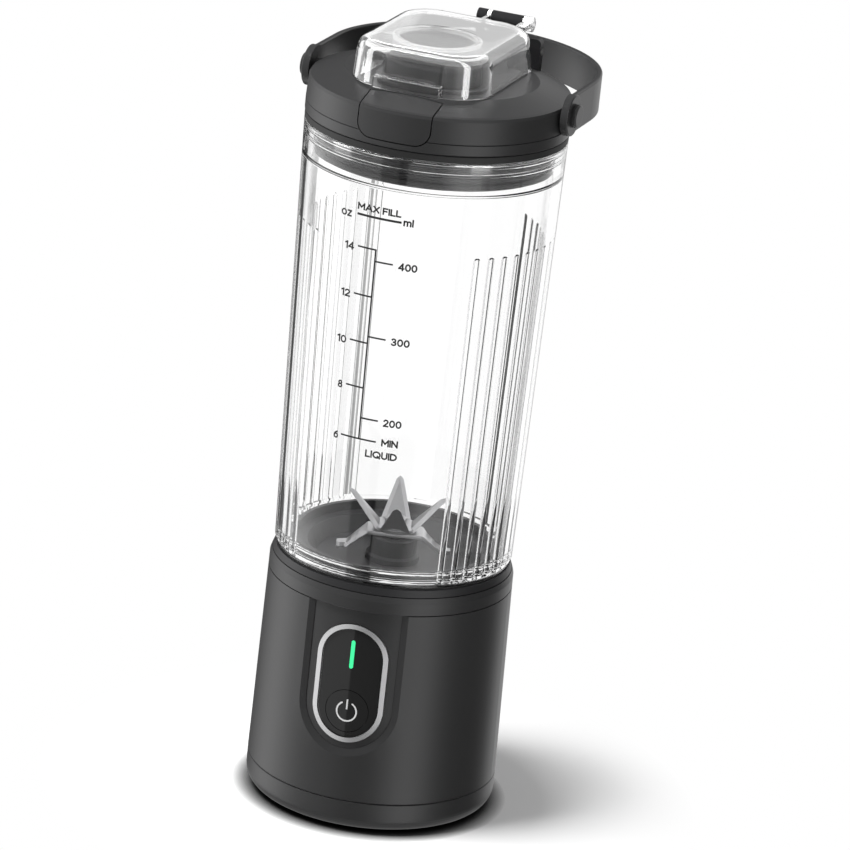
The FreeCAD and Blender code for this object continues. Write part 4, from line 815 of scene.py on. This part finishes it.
spoutSizes = {"y": -7.5, "body": 15.2, "bodyTop": 243.4, "round": 1.4, "foot": 13.9, "step": 0.15,
              "rim": 13.3, "rimRound": 0.4, "top": 246.6, "bore": 11.9, "boreRound": 0.3,
              "throat": 9.5, "bowl": 6.0, "skirt": 10.9, "bottom": 232.0, "lidTop": 236.2,
              "half": 17.5, "front": -22.0, "back": 22.0, "frontRound": 13.0, "backRound": 4.0,
              "platform": 237.4, "bevel": 0.3, "clearance": 1.0}


def platePiece(c):  # the low platform that the round body stands on
    outline = rounded([(-c["half"], c["front"], c["frontRound"]), (c["half"], c["front"], c["frontRound"]),
                       (c["half"], c["back"], c["backRound"]), (-c["half"], c["back"], c["backRound"])])
    n = len(outline)
    rings = [(c["lidTop"], 0.0), (c["platform"] - c["bevel"], 0.0), (c["platform"], c["bevel"])]
    verts = [(x * (1 - inset / c["half"]), y * (1 - inset / c["back"]), z) for z, inset in rings for x, y in outline]
    faces = [tuple(reversed(range(n))), tuple(range(2 * n, 3 * n))]
    faces += [(k * n + i, k * n + (i + 1) % n, (k + 1) * n + (i + 1) % n, (k + 1) * n + i) for k in (0, 1) for i in range(n)]
    plate = weld(meshPiece("plate", verts, faces))
    reach = c["skirt"] + c["clearance"]
    hole = weld(revolve("tool", [(0, 230), (reach, 230), (reach, 240), (0, 240)], even(64)))
    hole.data.transform(Matrix.Translation((0, c["y"] * mm, 0)))
    boolean(plate, hole)
    return plate


def makeSpout(c):
    r, bodyTop, top = c["round"], c["bodyTop"], c["top"]
    loop = [(c["throat"], c["bottom"]), (c["skirt"], c["bottom"]), (c["skirt"], c["lidTop"]), (c["body"], c["lidTop"])]
    loop += bend(c["body"] - r, bodyTop - r, r, (0, 22, 45, 68, 90))
    loop += [(c["foot"] + 0.1, bodyTop), (c["foot"] - 0.1, bodyTop + c["step"])]
    loop += bend(c["rim"] - c["rimRound"], top - c["rimRound"], c["rimRound"], (0, 30, 60, 90))
    loop += bend(c["bore"] + c["boreRound"], top - c["boreRound"], c["boreRound"], (90, 135, 180))
    loop += [(c["throat"], top - c["bowl"])]
    neck = weld(revolve("spout_neck", loop, even(128)))
    neck.data.transform(Matrix.Translation((0, c["y"] * mm, 0)))
    boolean(neck, platePiece(c), "UNION")
    turnAbout(neck, lidTurn)
    return place(smooth(weld(neck), 30), "lid", "charcoal_plastic", "spout_block")


capSizes = {"edge": 0.45, "segments": 3, "edgeFrom": 40, "flat": 0.5, "gap": 0.003}  # angles in degrees


def makeCap(c):  # the CAD cap with its edges rounded
    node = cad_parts["flip_cap"]
    piece = bpy.data.objects.new("cap_shell", node.data.copy())
    piece.data.transform(node.matrix_world)
    scene.collection.objects.link(piece)
    work = bmesh.new()
    work.from_mesh(piece.data)
    bmesh.ops.remove_doubles(work, verts=work.verts, dist=c["gap"] * mm)
    bmesh.ops.dissolve_limit(work, angle_limit=math.radians(c["flat"]), verts=work.verts, edges=work.edges)
    work.to_mesh(piece.data)
    work.free()
    if piece.data.has_custom_normals:
        piece.data.attributes.remove(piece.data.attributes["custom_normal"])
    step = piece.modifiers.new("soften", "BEVEL")
    step.width = c["edge"] * mm
    step.segments = c["segments"]
    step.limit_method = "ANGLE"
    step.angle_limit = math.radians(c["edgeFrom"])
    bake(piece)
    return place(smooth(weld(piece, 0.001), 35), "cap", "clear_cap", "flip_cap", slot="clear_plastic")


makeSpout(spoutSizes)
makeCap(capSizes)
print("lid pieces made")


upperBladeSizes = {"thick": 1.2, "turn": 14.0, "base": 88.7, "hubRadius": 7.0, "bore": 2.0, "edge": 0.15,
                   "arms": 4, "root": 4.8, "tip": 1.1, "length": 13.8, "pitch": 49.0, "inset": 2.0,
                   "ground": 1.5, "edgeThick": 0.18,  # the ground edge, and what is left of the thickness there
                   "crest": 0.93, "crestTip": 0.935, "crestHalf": 0.05}  # shares of the length, then a width


def makeUpperBlade(c):
    z0, t, r, edge, root, tip = (c[k] for k in ("base", "thick", "hubRadius", "edge", "root", "tip"))
    loop = [(c["bore"], z0), (r - edge, z0), (r, z0 + edge), (r, z0 + t - edge), (r - edge, z0 + t), (c["bore"], z0 + t)]
    hub = weld(revolve("blade_star", loop, even(96)))
    start, end = r - c["inset"], c["length"]
    low = [(0, -root), (end, -tip), (end + tip, 0), (end, tip), (0, root)]
    high = [(0, -root + c["ground"]), (end * c["crest"], -c["crestHalf"]), (end * c["crestTip"], 0),
            (end * c["crest"], c["crestHalf"]), (0, root - c["ground"])]
    layers = [(u, v, t * c["edgeThick"]) for u, v in low] + [(u, v, t) for u, v in high] + [(u, v, 0.0) for u, v in low]
    n = len(low)
    faces = [tuple(range(n, 2 * n)), tuple(reversed(range(2 * n, 3 * n)))]
    faces += [(i, (i + 1) % n, (i + 1) % n + n, i + n) for i in range(n)]
    faces += [(i + 2 * n, (i + 1) % n + 2 * n, (i + 1) % n, i) for i in range(n)]
    lean = math.radians(c["pitch"])
    for k in range(c["arms"]):
        turn = Matrix.Rotation(math.radians(360 / c["arms"] * k), 3, "Z")
        placed = [turn @ Vector((start + u * math.cos(lean) - (w - t) * math.sin(lean), v,
                                 z0 + t + u * math.sin(lean) + (w - t) * math.cos(lean))) for u, v, w in layers]
        boolean(hub, weld(meshPiece("arm", placed, faces)), "UNION")
    far, deep = 30, 20
    square = ((-far, -far), (far, -far), (far, far), (-far, far))
    below = meshPiece("tool", [(x, y, z) for z in (z0 - deep, z0) for x, y in square],
                      [(3, 2, 1, 0), (4, 5, 6, 7), (0, 1, 5, 4), (1, 2, 6, 5), (2, 3, 7, 6), (3, 0, 4, 7)])
    boolean(hub, below)  # the arms end flush with the underside of the hub
    turnAbout(hub, c["turn"])
    return place(smooth(weld(hub), 25), "drive_line", "blade_steel", "upper_blade")


lowerBladeSizes = {"thick": 1.2, "turn": 14.0, "top": 88.2, "half": 4.6, "tipHalf": 2.6, "flat": 8.5, "knee": 15.0,
                   "reach": 17.9, "drop": 5.4, "soft": 0.08, "taper": 0.4, "bore": 2.0,
                   "toothFrom": 0.12, "toothStart": 1.4, "toothPitch": 2.3, "toothDepth": 0.75, "toothShape": 0.7,
                   "grind": 1.3, "grindSlope": 6, "edge": 0.15, "edgeDown": 0.75}


def makeLowerBlade(c):
    t, flat, reach, soft = c["thick"], c["flat"], c["reach"], c["soft"]

    def drop(x):  # share of the way down, with soft ends
        share = max(0.0, min(1.0, (abs(x) - flat) / (c["knee"] - flat)))
        if share < soft:
            return share * share / (2 * soft) / (1 - soft)
        if share > 1 - soft:
            return 1 - (1 - share) ** 2 / (2 * soft) / (1 - soft)
        return (share - soft / 2) / (1 - soft)

    stations = steps(-reach, -flat, 0.3) + steps(-flat, flat, 4.0) + steps(flat, reach, 0.3) + [reach]
    verts, faces = [], []
    for x in stations:
        out = max(0.0, (abs(x) - flat) / (reach - flat))
        plain = c["half"] - 2 * (c["half"] - c["tipHalf"]) * out
        cutting = c["half"] - c["taper"] * out
        if out > c["toothFrom"]:
            phase = (abs(x) - flat - c["toothStart"]) % c["toothPitch"] / c["toothPitch"]
            cutting -= c["toothDepth"] * math.sin(math.pi * phase) ** c["toothShape"]
        ground = c["grind"] * min(1.0, out * c["grindSlope"]) + c["edge"]
        lowY, highY, inLow, inHigh = -plain, cutting, c["edge"], ground
        if x <= 0:
            lowY, highY, inLow, inHigh = -cutting, plain, ground, c["edge"]
        z = c["top"] - c["drop"] * drop(x)
        edgeZ = z - t * c["edgeDown"]
        verts += [(x, lowY, z - t), (x, lowY, edgeZ), (x, lowY + inLow, z), (x, highY - inHigh, z), (x, highY, edgeZ),
                  (x, highY, z - t)]
    n = 6
    for i in range(len(stations) - 1):
        a, b = n * i, n * (i + 1)
        faces += [(a + k, a + (k + 1) % n, b + (k + 1) % n, b + k) for k in range(n)]
    faces += [tuple(range(n)), tuple(reversed(range(n * (len(stations) - 1), n * len(stations))))]
    piece = weld(meshPiece("blade_wings", verts, faces))
    boolean(piece, weld(revolve("tool", [(0, 70), (c["bore"], 70), (c["bore"], 100), (0, 100)], even(48))))
    turnAbout(piece, c["turn"])
    return place(smooth(weld(piece), 25), "drive_line", "blade_steel", "lower_blade")


makeUpperBlade(upperBladeSizes)
makeLowerBlade(lowerBladeSizes)
print("blades made")
